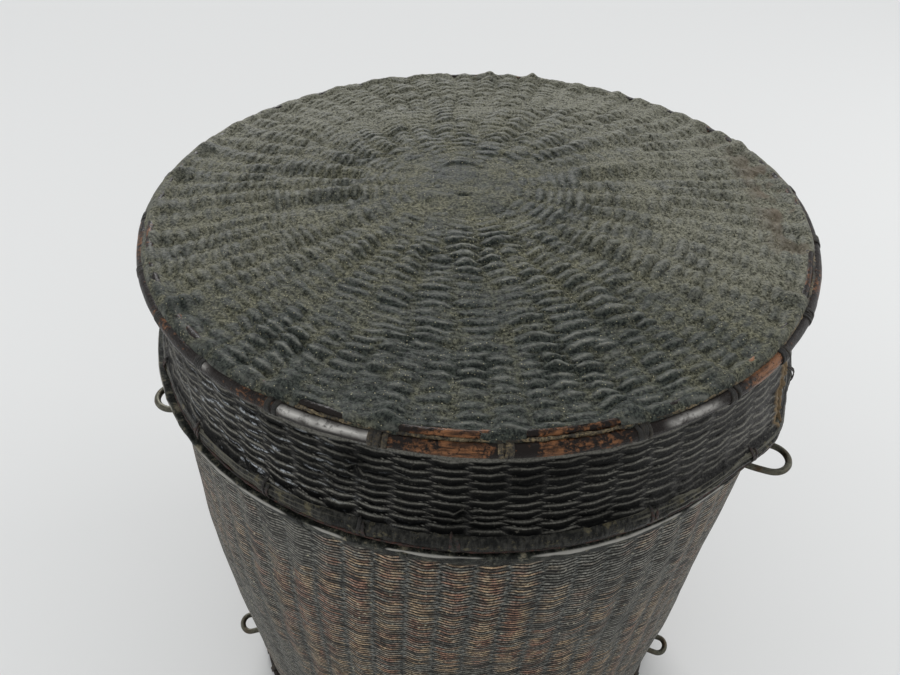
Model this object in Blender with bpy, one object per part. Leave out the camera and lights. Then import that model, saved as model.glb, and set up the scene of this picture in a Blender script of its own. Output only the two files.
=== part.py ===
"""Round lidded storage basket, woven and lacquered, with four wire cord loops.

Run with: blender --background --python part.py
Metres, +Z up. The basket stands on the plane z = 0, its lid centred on the Z axis
and its lower body a little to the left of it.
The lid's own frame has z = 0 at the middle of its rim rod, and lifts along +Z.
"""

import math

import bmesh
import bpy
import mathutils

# Fits
FIT_GAP = 0.0003
WELD_DISTANCE = 0.00001
LID_CLEARANCE = 0.0007
LID_HEADROOM = 0.0045
HOLE_CLEARANCE = 0.0004

# Counts of the round work
SEGMENTS = 54
RIM_ROD_SIDES = 6
ROD_SIDES = 5
STRAND_SIDES = 3
RIM_STRAP_COUNT = 27
STRAP_COUNT = 18
HIDDEN_STRAP_COUNT = 9

# Lid
LID_RADIUS = 0.175
LID_DEPTH = 0.0605
LID_CROWN = 0.009
TOP_THICKNESS = 0.003
SKIRT_THICKNESS = 0.0035
SKIRT_FLARE = 0.002

# Folds of the lid's panel over the stakes that spread from the patch
RIB_COUNT = 18
RIB_RISE = 0.0009

# Smooth patch over the start of the weave, off the middle of the lid
PATCH_RADIUS = 0.035
PATCH_THICKNESS = 0.0018
PATCH_OFFSET = 0.0095
PATCH_SIDES = 20

# Rattan rods and split strips
RIM_ROD_RADIUS = 0.0031
UPPER_ROD_RADIUS = 0.0022
CORNER_ROD_RADIUS = 0.0022
HEM_ROD_RADIUS = 0.0027
LEDGE_ROD_RADIUS = 0.003
FOOT_ROD_RADIUS = 0.0032
FOOT_INNER_ROD_RADIUS = 0.0026
COLLAR_ROD_RADIUS = 0.002
STRIP_THICKNESS = 0.0014
STRIP_HEIGHT = 0.006

# Lashings: a running strand with flat wraps
STRAND_RADIUS = 0.0006
RIM_STRAND_RADIUS = 0.001
STRAP_WIDTH = 0.0036
STRAP_THICKNESS = 0.0008
RIM_WRAP_INSET = 0.005
COLLAR_WRAP_DROP = 0.0045

# Body
WALL_HEIGHT = 0.3117
WALL_LIFT = 0.0008
WALL_THICKNESS = 0.0045
FOOT_RADIUS = 0.1445
COLLAR_THICKNESS = 0.0035
COLLAR_TAPER = 0.0035
BASE_THICKNESS = 0.004
BASE_RISE = 0.006
FOOT_INNER_LIFT = 0.0012

# The body bends sideways below the upper loops.
BODY_LEAN = 0.0065
LEAN_DROP = 0.0115
LEAN_HEIGHT = 0.12

# Wire loops
WIRE_RADIUS = 0.0016
LOOP_SPACING = 0.0205
LOOP_REACH = 0.0185
BENT_LOOP_REACH = 0.0248
LOOP_CLINCH = 0.011
LOOP_BEND = 0.0028
CLINCH_GAP = 0.0007
LOOP_DROOP = 0.002
UPPER_LOOP_DROP = 0.0505
LOWER_LOOP_HEIGHT = 0.038
RIGHT_LOOP_ANGLE = math.radians(-20)
LEFT_LOOP_ANGLE = math.radians(-167)

# Share of the way down to the upper loops that the collar reaches inside the wall
COLLAR_OVERLAP_SHARE = 0.6
# Shares of the wall's height, down from its top edge, where its outline bends
WALL_ROW_SHARES = (0.82,)
# Shares of the lean's height, down from its start, where the wall's outline bends
LEAN_ROW_SHARES = (0.0, 0.5, 1.0)
# Shares of the radius where the lid's crown and the base's rise bend
CROWN_ROW_SHARES = (0.29, 0.42, 0.6, 0.8)
BASE_ROW_SHARES = (0.6,)
# Shares of the lid panel's radius between which its folds stand
RIB_START_SHARE = 0.3
RIB_END_SHARE = 0.7
# Share of the spacing by which the ledge's wraps stand beside the hem's
STRAP_SHIFT_SHARE = 1 / 3
# Share of the patch's thickness left at its edge
PATCH_EDGE_SHARE = 0.45
PATCH_SHOULDER_SHARE = 0.75

# A wrap starts at its strand and bends round its rod in even steps.
WRAP_BENDS = 4
FULL_WRAP_STEP = math.radians(70)
FOOT_WRAP_STEP = math.radians(48)
# Angles round the rim's rods where a wrap bends, 0 outward, turning up
RIM_WRAP_ANGLES = tuple(math.radians(a) for a in (-115, -50, 15))
UPPER_WRAP_ANGLES = tuple(math.radians(a) for a in (62, 125))

LACQUER = (0.018, 0.018, 0.016)
TOP_LACQUER = (0.035, 0.036, 0.028)
WORN_ROD = (0.075, 0.032, 0.014)
BODY_WEAVE = (0.075, 0.058, 0.042)
BARE_WEAVE = (0.2, 0.13, 0.075)
FIBRE = (0.23, 0.18, 0.09)
IRON = (0.12, 0.115, 0.085)


# Radii and levels that follow from the sizes above

skirt_top_radius = LID_RADIUS - 2 * RIM_ROD_RADIUS - FIT_GAP
skirt_hem_radius = skirt_top_radius + SKIRT_FLARE
skirt_inner_top = skirt_top_radius - SKIRT_THICKNESS
skirt_inner_hem = skirt_hem_radius - SKIRT_THICKNESS
rim_rod_centre = (LID_RADIUS - RIM_ROD_RADIUS, 0.0)
hem_rod_r = skirt_hem_radius + FIT_GAP + HEM_ROD_RADIUS
hem_rod_z = HEM_ROD_RADIUS - LID_DEPTH
hem_strip_outer = skirt_inner_hem - FIT_GAP
hem_strip_inner = hem_strip_outer - STRIP_THICKNESS

# The upper rod lies against the rim rod, over the skirt's top edge.
rod_spacing = RIM_ROD_RADIUS + UPPER_ROD_RADIUS + FIT_GAP
upper_rod_r = skirt_top_radius - SKIRT_THICKNESS / 2 + UPPER_ROD_RADIUS / 2
upper_rod_z = math.sqrt(rod_spacing ** 2 - (rim_rod_centre[0] - upper_rod_r) ** 2)
upper_rod_centre = (upper_rod_r, upper_rod_z)
skirt_top_z = upper_rod_z - UPPER_ROD_RADIUS - FIT_GAP

top_radius = min(upper_rod_r - UPPER_ROD_RADIUS, skirt_inner_top) - FIT_GAP
top_edge_z = upper_rod_z
corner_rod_r = skirt_inner_top - FIT_GAP - CORNER_ROD_RADIUS
corner_rod_z = top_edge_z - TOP_THICKNESS - FIT_GAP - CORNER_ROD_RADIUS

collar_radius = hem_strip_inner - LID_CLEARANCE
wall_inner_top = collar_radius + FIT_GAP
wall_top_radius = wall_inner_top + WALL_THICKNESS
wall_top_z = WALL_LIFT + WALL_HEIGHT


def wrap_radius(rod_radius, step):
    """Distance of a wrap's inner bends from its rod's middle."""
    return (rod_radius + FIT_GAP) / math.cos(step / 2)


ledge_rod_r = wall_top_radius + FIT_GAP + LEDGE_ROD_RADIUS
ledge_rod_z = wall_top_z - LEDGE_ROD_RADIUS
hem_wrap_reach = wrap_radius(HEM_ROD_RADIUS, FULL_WRAP_STEP) + STRAP_THICKNESS
ledge_wrap_reach = wrap_radius(LEDGE_ROD_RADIUS, FULL_WRAP_STEP) + STRAP_THICKNESS
# The lid's wraps rest on the ledge rod, and the ledge's wraps stay clear of the hem rod.
seat_rise = FIT_GAP + max(
    LEDGE_ROD_RADIUS + hem_wrap_reach,
    ledge_wrap_reach + HEM_ROD_RADIUS,
)
rim_height = ledge_rod_z + seat_rise - hem_rod_z

upper_loop_z = wall_top_z - UPPER_LOOP_DROP
lean_top_z = upper_loop_z - LEAN_DROP
collar_bottom_z = wall_top_z - COLLAR_OVERLAP_SHARE * UPPER_LOOP_DROP
collar_top_z = (
    rim_height + corner_rod_z - CORNER_ROD_RADIUS - LID_HEADROOM
    - FIT_GAP - STRAP_THICKNESS
)
collar_top_radius = collar_radius - COLLAR_TAPER
collar_top_inner = collar_top_radius - COLLAR_THICKNESS

base_z = FOOT_INNER_LIFT + 2 * FOOT_INNER_ROD_RADIUS + FIT_GAP


def wall_radius(z):
    """Outer radius of the body wall: nearly straight above, drawn in to the foot."""
    depth_share = (wall_top_z - z) / WALL_HEIGHT
    return wall_top_radius - (wall_top_radius - FOOT_RADIUS) * depth_share ** 2


def wall_lean(z):
    """Growth of the wall's radius with height."""
    depth_share = (wall_top_z - z) / WALL_HEIGHT
    return 2 * (wall_top_radius - FOOT_RADIUS) * depth_share / WALL_HEIGHT


def body_shift(z):
    """How far the body stands to the right of the lid's axis at this height."""
    share = min(max((lean_top_z - z) / LEAN_HEIGHT, 0.0), 1.0)
    return -BODY_LEAN * share ** 2 * (3 - 2 * share)


def beside_wall(z, distance):
    """Radius at this height that lies a distance outside the wall's sloping face."""
    return wall_radius(z) + distance * math.hypot(1, wall_lean(z))


def inside_wall(z, distance):
    """Radius at this height that lies a distance inside the wall's inner face."""
    return wall_radius(z) - WALL_THICKNESS - distance * math.hypot(1, wall_lean(z))


def crown_z(radius):
    """Height of the lid panel's top face, in the lid's frame."""
    return top_edge_z + LID_CROWN * (1 - (radius / top_radius) ** 2)


def clear_scene():
    for item in list(bpy.data.objects):
        bpy.data.objects.remove(item, do_unlink=True)


def make_material(name, colour, roughness, metallic=0.0):
    material = bpy.data.materials.new(name)
    material.use_nodes = True
    shader = material.node_tree.nodes["Principled BSDF"]
    shader.inputs["Base Color"].default_value = (*colour, 1.0)
    shader.inputs["Roughness"].default_value = roughness
    shader.inputs["Metallic"].default_value = metallic
    material.diffuse_color = (*colour, 1.0)
    return material


def add_object(name, mesh, material, parent=None):
    item = bpy.data.objects.new(name, mesh)
    bpy.context.collection.objects.link(item)
    item.data.materials.append(material)
    item.parent = parent
    return item


def finish_mesh(name, builder):
    """Close the builder's mesh, face it outward and shade it smooth."""
    bmesh.ops.remove_doubles(builder, verts=builder.verts, dist=WELD_DISTANCE)
    bmesh.ops.recalc_face_normals(builder, faces=builder.faces)
    mesh = bpy.data.meshes.new(name)
    builder.to_mesh(mesh)
    builder.free()
    mesh.shade_smooth()
    mesh.set_sharp_from_angle(angle=math.radians(40))
    return mesh


def turned_mesh(name, outline, closed=True):
    """Turn an outline of (radius, height) points about the Z axis."""
    builder = bmesh.new()
    points = [builder.verts.new((r, 0.0, z)) for r, z in outline]
    pairs = list(zip(points, points[1:]))
    if closed:
        pairs.append((points[-1], points[0]))
    edges = [builder.edges.new(pair) for pair in pairs]
    bmesh.ops.spin(
        builder,
        geom=points + edges,
        cent=(0, 0, 0),
        axis=(0, 0, 1),
        angle=2 * math.pi,
        steps=SEGMENTS,
        use_merge=True,
    )
    return finish_mesh(name, builder)


def round_section(centre, radius, sides):
    """Outline of a rod with one flat side below."""
    turn = math.pi / sides - math.pi / 2
    return [
        (
            centre[0] + radius * math.cos(turn + 2 * math.pi * k / sides),
            centre[1] + radius * math.sin(turn + 2 * math.pi * k / sides),
        )
        for k in range(sides)
    ]


def strand_section(centre, radius, towards):
    """Outline of a strand with one corner towards an angle."""
    return [
        (
            centre[0] + radius * math.cos(towards + 2 * math.pi * k / STRAND_SIDES),
            centre[1] + radius * math.sin(towards + 2 * math.pi * k / STRAND_SIDES),
        )
        for k in range(STRAND_SIDES)
    ]


def round_rod(name, centre, radius, material, parent=None, sides=ROD_SIDES):
    mesh = turned_mesh(name, round_section(centre, radius, sides))
    return add_object(name, mesh, material, parent)


def flat_strip(name, inner, outer, low, high, material, parent=None):
    outline = [(outer, high), (outer, low), (inner, low), (inner, high)]
    return add_object(name, turned_mesh(name, outline), material, parent)


def hug(centre, radius, angles):
    """Points at a distance from a rod's middle, at the angles where a wrap bends."""
    return [
        (centre[0] + radius * math.cos(a), centre[1] + radius * math.sin(a))
        for a in angles
    ]


def lashing(name, strand, inner_path, outer_path, count, shift, material, parent=None):
    """One binder: a strand that runs round, joined to flat wraps over the rods."""
    ring = add_object(name, turned_mesh(name, strand), material, parent)
    builder = bmesh.new()
    for k in range(count):
        azimuth = 2 * math.pi * (k + shift) / count
        out = (math.cos(azimuth), math.sin(azimuth))
        along = (-out[1], out[0])
        rows = []
        for near, far in zip(inner_path, outer_path):
            row = []
            for (radius, z), side in ((near, -1), (far, -1), (far, 1), (near, 1)):
                half = side * STRAP_WIDTH / 2
                spot = (
                    radius * out[0] + half * along[0],
                    radius * out[1] + half * along[1],
                    z,
                )
                row.append(builder.verts.new(spot))
            rows.append(row)
        builder.faces.new(rows[0])
        builder.faces.new(rows[-1][::-1])
        for first, second in zip(rows, rows[1:]):
            for i in range(4):
                j = (i + 1) % 4
                builder.faces.new((first[i], first[j], second[j], second[i]))
    wraps = add_object(name + "_wraps", finish_mesh(name + "_wraps", builder), material, parent)
    wraps.hide_render = True
    wraps.display_type = 'WIRE'
    join = ring.modifiers.new("join_wraps", 'BOOLEAN')
    join.operation = 'UNION'
    join.solver = 'EXACT'
    join.object = wraps
    return ring


def make_lid_panels(lid, lacquer, top_lacquer):
    top = [(0.0, crown_z(0.0))]
    top += [(s * top_radius, crown_z(s * top_radius)) for s in CROWN_ROW_SHARES]
    top.append((top_radius, top_edge_z))
    underside = [(r, z - TOP_THICKNESS) for r, z in reversed(top)]
    mesh = turned_mesh("lid_top_panel", top + underside, closed=False)
    for vertex in mesh.vertices:
        radius_share = math.hypot(vertex.co.x, vertex.co.y) / top_radius
        if RIB_START_SHARE < radius_share < RIB_END_SHARE:
            azimuth = math.atan2(vertex.co.y, vertex.co.x)
            vertex.co.z += RIB_RISE * math.cos(RIB_COUNT * azimuth)
    add_object("lid_top_panel", mesh, top_lacquer, lid)

    skirt = [
        (skirt_top_radius, skirt_top_z),
        (skirt_hem_radius, -LID_DEPTH),
        (skirt_inner_hem, -LID_DEPTH),
        (skirt_inner_top, skirt_top_z),
    ]
    add_object("lid_skirt", turned_mesh("lid_skirt", skirt), lacquer, lid)


def make_lid_patch(lid, material):
    """A thin round patch that follows the crown, off its middle."""
    builder = bmesh.new()
    sheets = []
    for thickness, edge_thickness in (
        (PATCH_THICKNESS, PATCH_THICKNESS * PATCH_EDGE_SHARE),
        (0.0, 0.0),
    ):
        apex_z = crown_z(PATCH_OFFSET) + FIT_GAP + thickness
        middle = builder.verts.new((-PATCH_OFFSET, 0.0, apex_z))
        rings = []
        for share, rise in ((PATCH_SHOULDER_SHARE, thickness), (1.0, edge_thickness)):
            ring = []
            for k in range(PATCH_SIDES):
                angle = 2 * math.pi * k / PATCH_SIDES
                x = share * PATCH_RADIUS * math.cos(angle) - PATCH_OFFSET
                y = share * PATCH_RADIUS * math.sin(angle)
                ring.append(builder.verts.new((x, y, crown_z(math.hypot(x, y)) + FIT_GAP + rise)))
            rings.append(ring)
        sheets.append((middle, rings))
    for middle, (inner, outer) in sheets:
        for k in range(PATCH_SIDES):
            n = (k + 1) % PATCH_SIDES
            builder.faces.new((middle, inner[k], inner[n]))
            builder.faces.new((inner[k], outer[k], outer[n], inner[n]))
    upper_edge = sheets[0][1][1]
    lower_edge = sheets[1][1][1]
    for k in range(PATCH_SIDES):
        n = (k + 1) % PATCH_SIDES
        builder.faces.new((upper_edge[k], lower_edge[k], lower_edge[n], upper_edge[n]))
    add_object("lid_centre_patch", finish_mesh("lid_centre_patch", builder), material, lid)


def groove_point(first, first_distance, second, second_distance):
    """The point outside two rods at a given distance from each rod's middle."""
    dx = second[0] - first[0]
    dz = second[1] - first[1]
    span = math.hypot(dx, dz)
    along = (first_distance ** 2 - second_distance ** 2 + span ** 2) / (2 * span)
    out = math.sqrt(first_distance ** 2 - along ** 2)
    x = first[0] + (along * dx + out * dz) / span
    z = first[1] + (along * dz - out * dx) / span
    return x, z


def make_lid_rim(lid, rod, fibre):
    round_rod("lid_rim_rod", rim_rod_centre, RIM_ROD_RADIUS, rod, lid, RIM_ROD_SIDES)
    round_rod("lid_upper_rod", upper_rod_centre, UPPER_ROD_RADIUS, rod, lid)
    round_rod("lid_corner_rod", (corner_rod_r, corner_rod_z), CORNER_ROD_RADIUS, rod, lid)

    reach = RIM_STRAND_RADIUS + FIT_GAP
    strand = groove_point(
        rim_rod_centre, RIM_ROD_RADIUS + reach,
        upper_rod_centre, UPPER_ROD_RADIUS + reach,
    )
    towards = math.atan2(
        rim_rod_centre[0] - upper_rod_centre[0],
        upper_rod_centre[1] - rim_rod_centre[1],
    )
    rim_bend = wrap_radius(RIM_ROD_RADIUS, RIM_WRAP_ANGLES[1] - RIM_WRAP_ANGLES[0])
    upper_bend = wrap_radius(UPPER_ROD_RADIUS, UPPER_WRAP_ANGLES[1] - UPPER_WRAP_ANGLES[0])
    end_radius = top_radius - RIM_WRAP_INSET
    end_z = crown_z(end_radius) + FIT_GAP
    inner_path = hug(rim_rod_centre, rim_bend, RIM_WRAP_ANGLES)
    inner_path += hug(upper_rod_centre, upper_bend, UPPER_WRAP_ANGLES)
    inner_path.append((end_radius, end_z))
    outer_path = hug(rim_rod_centre, rim_bend + STRAP_THICKNESS, RIM_WRAP_ANGLES)
    outer_path += hug(upper_rod_centre, upper_bend + STRAP_THICKNESS, UPPER_WRAP_ANGLES)
    outer_path.append((end_radius, end_z + STRAP_THICKNESS))
    lashing(
        "lid_rim_lashing",
        strand_section(strand, RIM_STRAND_RADIUS, towards),
        inner_path, outer_path, RIM_STRAP_COUNT, 0, fibre, lid,
    )


def corner_strand(rod_centre, rod_radius, side, lean):
    """Middle of a strand in the corner between a rod and the wall that leans over it."""
    away = rod_radius + FIT_GAP + STRAND_RADIUS
    across = rod_radius - STRAND_RADIUS - lean * away
    rise = math.sqrt(away ** 2 - across ** 2)
    return rod_centre[0] - across, rod_centre[1] + side * rise


def rod_lashing(
    name, centre, radius, step, side, count, shift, material, parent=None, lean=0.0,
):
    """A lashing over one rod, its strand above the rod (side 1) or below it (side -1)."""
    bend = wrap_radius(radius, step)
    strand = corner_strand(centre, radius, side, lean)
    start = math.atan2(side * (strand[1] - centre[1]), strand[0] - centre[0])
    turned = [side * (start - k * step) for k in range(WRAP_BENDS)]
    return lashing(
        name,
        strand_section(strand, STRAND_RADIUS, 0.0),
        hug(centre, bend, turned),
        hug(centre, bend + STRAP_THICKNESS, turned),
        count, shift, material, parent,
    )


def make_lid_hem(lid, rod, fibre):
    centre = (hem_rod_r, hem_rod_z)
    round_rod("lid_hem_rod", centre, HEM_ROD_RADIUS, rod, lid)
    flat_strip(
        "lid_hem_strip", hem_strip_inner, hem_strip_outer,
        -LID_DEPTH, STRIP_HEIGHT - LID_DEPTH, rod, lid,
    )
    rod_lashing(
        "lid_hem_lashing", centre, HEM_ROD_RADIUS, FULL_WRAP_STEP,
        1, STRAP_COUNT, 0, fibre, lid,
    )


def make_body_wall(weave, angles_and_heights):
    levels = [wall_top_z, collar_bottom_z]
    levels += [lean_top_z - s * LEAN_HEIGHT for s in LEAN_ROW_SHARES]
    levels += [wall_top_z - s * WALL_HEIGHT for s in WALL_ROW_SHARES]
    levels += [base_z + BASE_THICKNESS, WALL_LIFT]
    outside = [(wall_radius(z), z) for z in levels]
    inside = [(r - WALL_THICKNESS, z) for r, z in reversed(outside)]
    mesh = turned_mesh("body_wall", outside + inside)
    for vertex in mesh.vertices:
        vertex.co.x += body_shift(vertex.co.z)
    wall = add_object("body_wall", mesh, weave)

    cutter = bmesh.new()
    hole_radius = (WIRE_RADIUS + HOLE_CLEARANCE) / math.cos(math.pi / 8)
    for azimuth, height in angles_and_heights:
        middle = wall_radius(height) - WALL_THICKNESS / 2
        for side in (-1, 1):
            made = bmesh.ops.create_cone(
                cutter, cap_ends=True, segments=8,
                radius1=hole_radius, radius2=hole_radius,
                depth=3 * WALL_THICKNESS,
            )
            bmesh.ops.rotate(
                cutter, verts=made["verts"], cent=(0, 0, 0),
                matrix=mathutils.Matrix.Rotation(math.pi / 2, 3, 'Y'),
            )
            bmesh.ops.translate(
                cutter, verts=made["verts"],
                vec=(middle, side * LOOP_SPACING / 2, height),
            )
            bmesh.ops.rotate(
                cutter, verts=made["verts"], cent=(0, 0, 0),
                matrix=mathutils.Matrix.Rotation(azimuth, 3, 'Z'),
            )
            bmesh.ops.translate(cutter, verts=made["verts"], vec=(body_shift(height), 0, 0))
    holes = add_object("wall_holes", finish_mesh("wall_holes", cutter), weave)
    holes.hide_render = True
    holes.display_type = 'WIRE'
    cut = wall.modifiers.new("loop_holes", 'BOOLEAN')
    cut.operation = 'DIFFERENCE'
    cut.solver = 'EXACT'
    cut.object = holes


def make_base(weave, foot):
    """Woven bottom, risen in the middle, seated on the inner foot rod."""
    radius = inside_wall(base_z, FIT_GAP)
    low = [(0.0, base_z + BASE_RISE)]
    low += [(s * radius, base_z + BASE_RISE * (1 - s ** 2)) for s in BASE_ROW_SHARES]
    low.append((radius, base_z))
    high = [(r, z + BASE_THICKNESS) for r, z in reversed(low)]
    mesh = turned_mesh("body_base", low + high, closed=False)
    add_object("body_base", mesh, weave, foot)


def make_foot(rod, fibre, foot):
    flat = math.cos(math.pi / ROD_SIDES)
    outer_z = FOOT_ROD_RADIUS * flat
    centre = (beside_wall(outer_z, FIT_GAP + FOOT_ROD_RADIUS), outer_z)
    round_rod("foot_rod", centre, FOOT_ROD_RADIUS, rod, foot)
    rod_lashing(
        "foot_lashing", centre, FOOT_ROD_RADIUS, FOOT_WRAP_STEP,
        1, HIDDEN_STRAP_COUNT, 0, fibre, foot, lean=wall_lean(outer_z),
    )
    inner_z = FOOT_INNER_LIFT + FOOT_INNER_ROD_RADIUS
    inner_r = inside_wall(inner_z, FIT_GAP + FOOT_INNER_ROD_RADIUS)
    round_rod("foot_inner_rod", (inner_r, inner_z), FOOT_INNER_ROD_RADIUS, rod, foot)


def make_ledge(rod, fibre):
    centre = (ledge_rod_r, ledge_rod_z)
    round_rod("body_ledge_rod", centre, LEDGE_ROD_RADIUS, rod)
    rod_lashing(
        "body_ledge_lashing", centre, LEDGE_ROD_RADIUS, FULL_WRAP_STEP,
        -1, STRAP_COUNT, STRAP_SHIFT_SHARE, fibre,
    )


def make_collar(weave, rod, fibre):
    """Inner collar that the lid slides over, bound along its top edge."""
    low_radius = wall_radius(collar_bottom_z) - WALL_THICKNESS - FIT_GAP
    outline = [
        (collar_top_radius, collar_top_z),
        (collar_radius, wall_top_z),
        (low_radius, collar_bottom_z),
        (low_radius - COLLAR_THICKNESS, collar_bottom_z),
        (collar_radius - COLLAR_THICKNESS, wall_top_z),
        (collar_top_inner, collar_top_z),
    ]
    add_object("body_collar", turned_mesh("body_collar", outline), weave)

    # The collar grows down from its top edge, so the strip stands off that growth.
    growth = COLLAR_TAPER * STRIP_HEIGHT / (collar_top_z - wall_top_z)
    strip_inner = collar_top_radius + growth + FIT_GAP
    strip_outer = strip_inner + STRIP_THICKNESS
    flat_strip(
        "collar_strip", strip_inner, strip_outer,
        collar_top_z - STRIP_HEIGHT, collar_top_z, rod,
    )
    rod_r = collar_top_inner - FIT_GAP - COLLAR_ROD_RADIUS
    rod_z = collar_top_z - COLLAR_ROD_RADIUS
    round_rod("collar_rod", (rod_r, rod_z), COLLAR_ROD_RADIUS, rod)

    near_out = strip_outer + FIT_GAP
    near_in = rod_r - COLLAR_ROD_RADIUS - FIT_GAP
    over = collar_top_z + FIT_GAP
    under = collar_top_z - COLLAR_WRAP_DROP
    inner_path = [(near_out, under), (near_out, over), (near_in, over), (near_in, under)]
    far_out = near_out + STRAP_THICKNESS
    far_in = near_in - STRAP_THICKNESS
    top = over + STRAP_THICKNESS
    outer_path = [(far_out, under), (far_out, top), (far_in, top), (far_in, under)]
    strand = (collar_top_radius - COLLAR_THICKNESS / 2, over + STRAND_RADIUS)
    lashing(
        "collar_lashing", strand_section(strand, STRAND_RADIUS, 0.0),
        inner_path, outer_path, HIDDEN_STRAP_COUNT, 0, fibre,
    )


def loop_path(height, reach):
    """Middle line of a wire loop, pointing along +X: clinched end, leg, eye, leg, end."""
    half = LOOP_SPACING / 2
    flat = math.cos(math.pi / SEGMENTS)
    clinch_radius = inside_wall(height, 0.0) * flat - WIRE_RADIUS - CLINCH_GAP
    points = []
    for k in range(3):
        y = half + LOOP_BEND + LOOP_CLINCH * (1 - k / 2)
        points.append((math.sqrt(clinch_radius ** 2 - y ** 2), y, height))
    start_x = points[-1][0]
    for k in range(1, 4):
        turn = math.pi / 2 * k / 3
        x = start_x + LOOP_BEND * (1 - math.cos(turn))
        y = half + LOOP_BEND * (1 - math.sin(turn))
        points.append((x, y, height))
    face = wall_radius(height)
    tip = face + reach - WIRE_RADIUS
    eye_x = tip - half
    points.append((face, half, height))
    steps = 8
    for k in range(steps // 2 + 1):
        turn = math.pi / 2 * k / (steps // 2)
        x = eye_x + half * math.sin(turn)
        y = half * math.cos(turn)
        z = height - LOOP_DROOP * max(x - face, 0.0) / reach
        points.append((x, y, z))
    mirrored = [(x, -y, z) for x, y, z in reversed(points[:-1])]
    return points + mirrored


def make_loop(name, azimuth, height, reach, material):
    """A curve along the loop's middle line, given the wire's thickness."""
    curve = bpy.data.curves.new(name, 'CURVE')
    curve.dimensions = '3D'
    curve.bevel_depth = WIRE_RADIUS
    curve.bevel_resolution = 1
    curve.use_fill_caps = True
    path = loop_path(height, reach)
    spline = curve.splines.new('POLY')
    spline.points.add(len(path) - 1)
    for point, place in zip(spline.points, path):
        point.co = (*place, 1.0)
    loop = add_object(name, curve, material)
    loop.rotation_euler.z = azimuth
    loop.location.x = body_shift(height)
    return loop


def main():
    clear_scene()
    lacquer = make_material("black_lacquered_weave", LACQUER, 0.38)
    top_lacquer = make_material("dusty_lacquered_weave", TOP_LACQUER, 0.62)
    patch = make_material("patch_lacquer", TOP_LACQUER, 0.5)
    rod = make_material("worn_rattan_rod", WORN_ROD, 0.35)
    hidden_rod = make_material("bare_rattan_rod", BARE_WEAVE, 0.6)
    weave = make_material("smoked_body_weave", BODY_WEAVE, 0.6)
    bare = make_material("bare_weave", BARE_WEAVE, 0.75)
    fibre = make_material("binding_fibre", FIBRE, 0.7)
    iron = make_material("iron_wire", IRON, 0.45, 1.0)

    lid = bpy.data.objects.new("lid_axis", None)
    bpy.context.collection.objects.link(lid)
    lid.location.z = rim_height
    foot = bpy.data.objects.new("foot_axis", None)
    bpy.context.collection.objects.link(foot)
    foot.location.x = body_shift(0.0)

    make_lid_panels(lid, lacquer, top_lacquer)
    make_lid_patch(lid, patch)
    make_lid_rim(lid, rod, fibre)
    make_lid_hem(lid, rod, fibre)

    loops = (
        ("loop_upper_right", RIGHT_LOOP_ANGLE, upper_loop_z, BENT_LOOP_REACH),
        ("loop_upper_left", LEFT_LOOP_ANGLE, upper_loop_z, LOOP_REACH),
        ("loop_lower_right", RIGHT_LOOP_ANGLE, LOWER_LOOP_HEIGHT, LOOP_REACH),
        ("loop_lower_left", LEFT_LOOP_ANGLE, LOWER_LOOP_HEIGHT, LOOP_REACH),
    )
    make_body_wall(weave, [(azimuth, height) for _, azimuth, height, _ in loops])
    make_base(weave, foot)
    make_ledge(rod, fibre)
    make_collar(bare, hidden_rod, fibre)
    make_foot(rod, fibre, foot)
    for name, azimuth, height, reach in loops:
        make_loop(name, azimuth, height, reach, iron)


main()
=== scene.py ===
"""Looks of the lidded storage basket: woven, lacquered surfaces round the fixed frame."""

from collections import namedtuple
import math

import bpy
import numpy as np
from mathutils import Matrix, Vector


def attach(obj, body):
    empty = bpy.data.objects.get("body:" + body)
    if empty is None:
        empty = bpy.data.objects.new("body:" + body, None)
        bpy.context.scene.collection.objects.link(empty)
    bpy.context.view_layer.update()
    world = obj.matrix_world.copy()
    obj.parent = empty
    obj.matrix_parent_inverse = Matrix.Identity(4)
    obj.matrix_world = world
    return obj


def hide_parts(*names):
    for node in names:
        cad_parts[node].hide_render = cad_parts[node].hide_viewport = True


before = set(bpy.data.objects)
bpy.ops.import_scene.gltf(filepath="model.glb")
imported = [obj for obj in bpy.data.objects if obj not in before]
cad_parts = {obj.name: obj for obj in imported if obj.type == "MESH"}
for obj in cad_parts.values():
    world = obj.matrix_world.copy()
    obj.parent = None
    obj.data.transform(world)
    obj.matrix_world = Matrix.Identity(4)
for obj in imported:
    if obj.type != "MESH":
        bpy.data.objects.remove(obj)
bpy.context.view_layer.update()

TAU = 2 * math.pi
Weave = namedtuple("Weave", "height strand place column over across")

# Sizes and places of the frame, in metres
RIM_Z = 0.37513
TOP_EDGE_R = 0.165
TOP_EDGE_Z = 0.379
TOP_THICK = 0.0032
CROWN = 0.009
HUB = (-0.0095, 0.001)
HUB_R = 0.033
SKIRT_TOP = (0.1684, 0.3765)
SKIRT_LOW = (0.1704, 0.3147)
SKIRT_THICK = 0.0032
WALL_TOP_Z = 0.312
WALL_TOP_R = 0.1692
WALL_LOW_Z = 0.0012
WALL_THICK = 0.0042
FOOT_R = 0.1444
BASE_Z = 0.0067
BASE_R = 0.1402
BASE_RISE = 0.006
COLLAR_TOP = (0.1619, 0.3654)

# The ledge's shift to the left and the eyes' wire, as the photo shows them, in metres
LEDGE_SHIFT = -0.0018
WIRE_R = 0.0019

# Thickness and height of a split strip, as shares of its height
STRIP_SHAPE = (0.25, 1.0)

# Spacing of the weave's rows, in metres, and stakes round the basket
STAKES = 68
SKIRT_LOBE = 0.0049
BODY_LOBE = 0.0021
LINING_LOBE = 0.0072
TOP_LOBE = 0.0054

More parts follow.
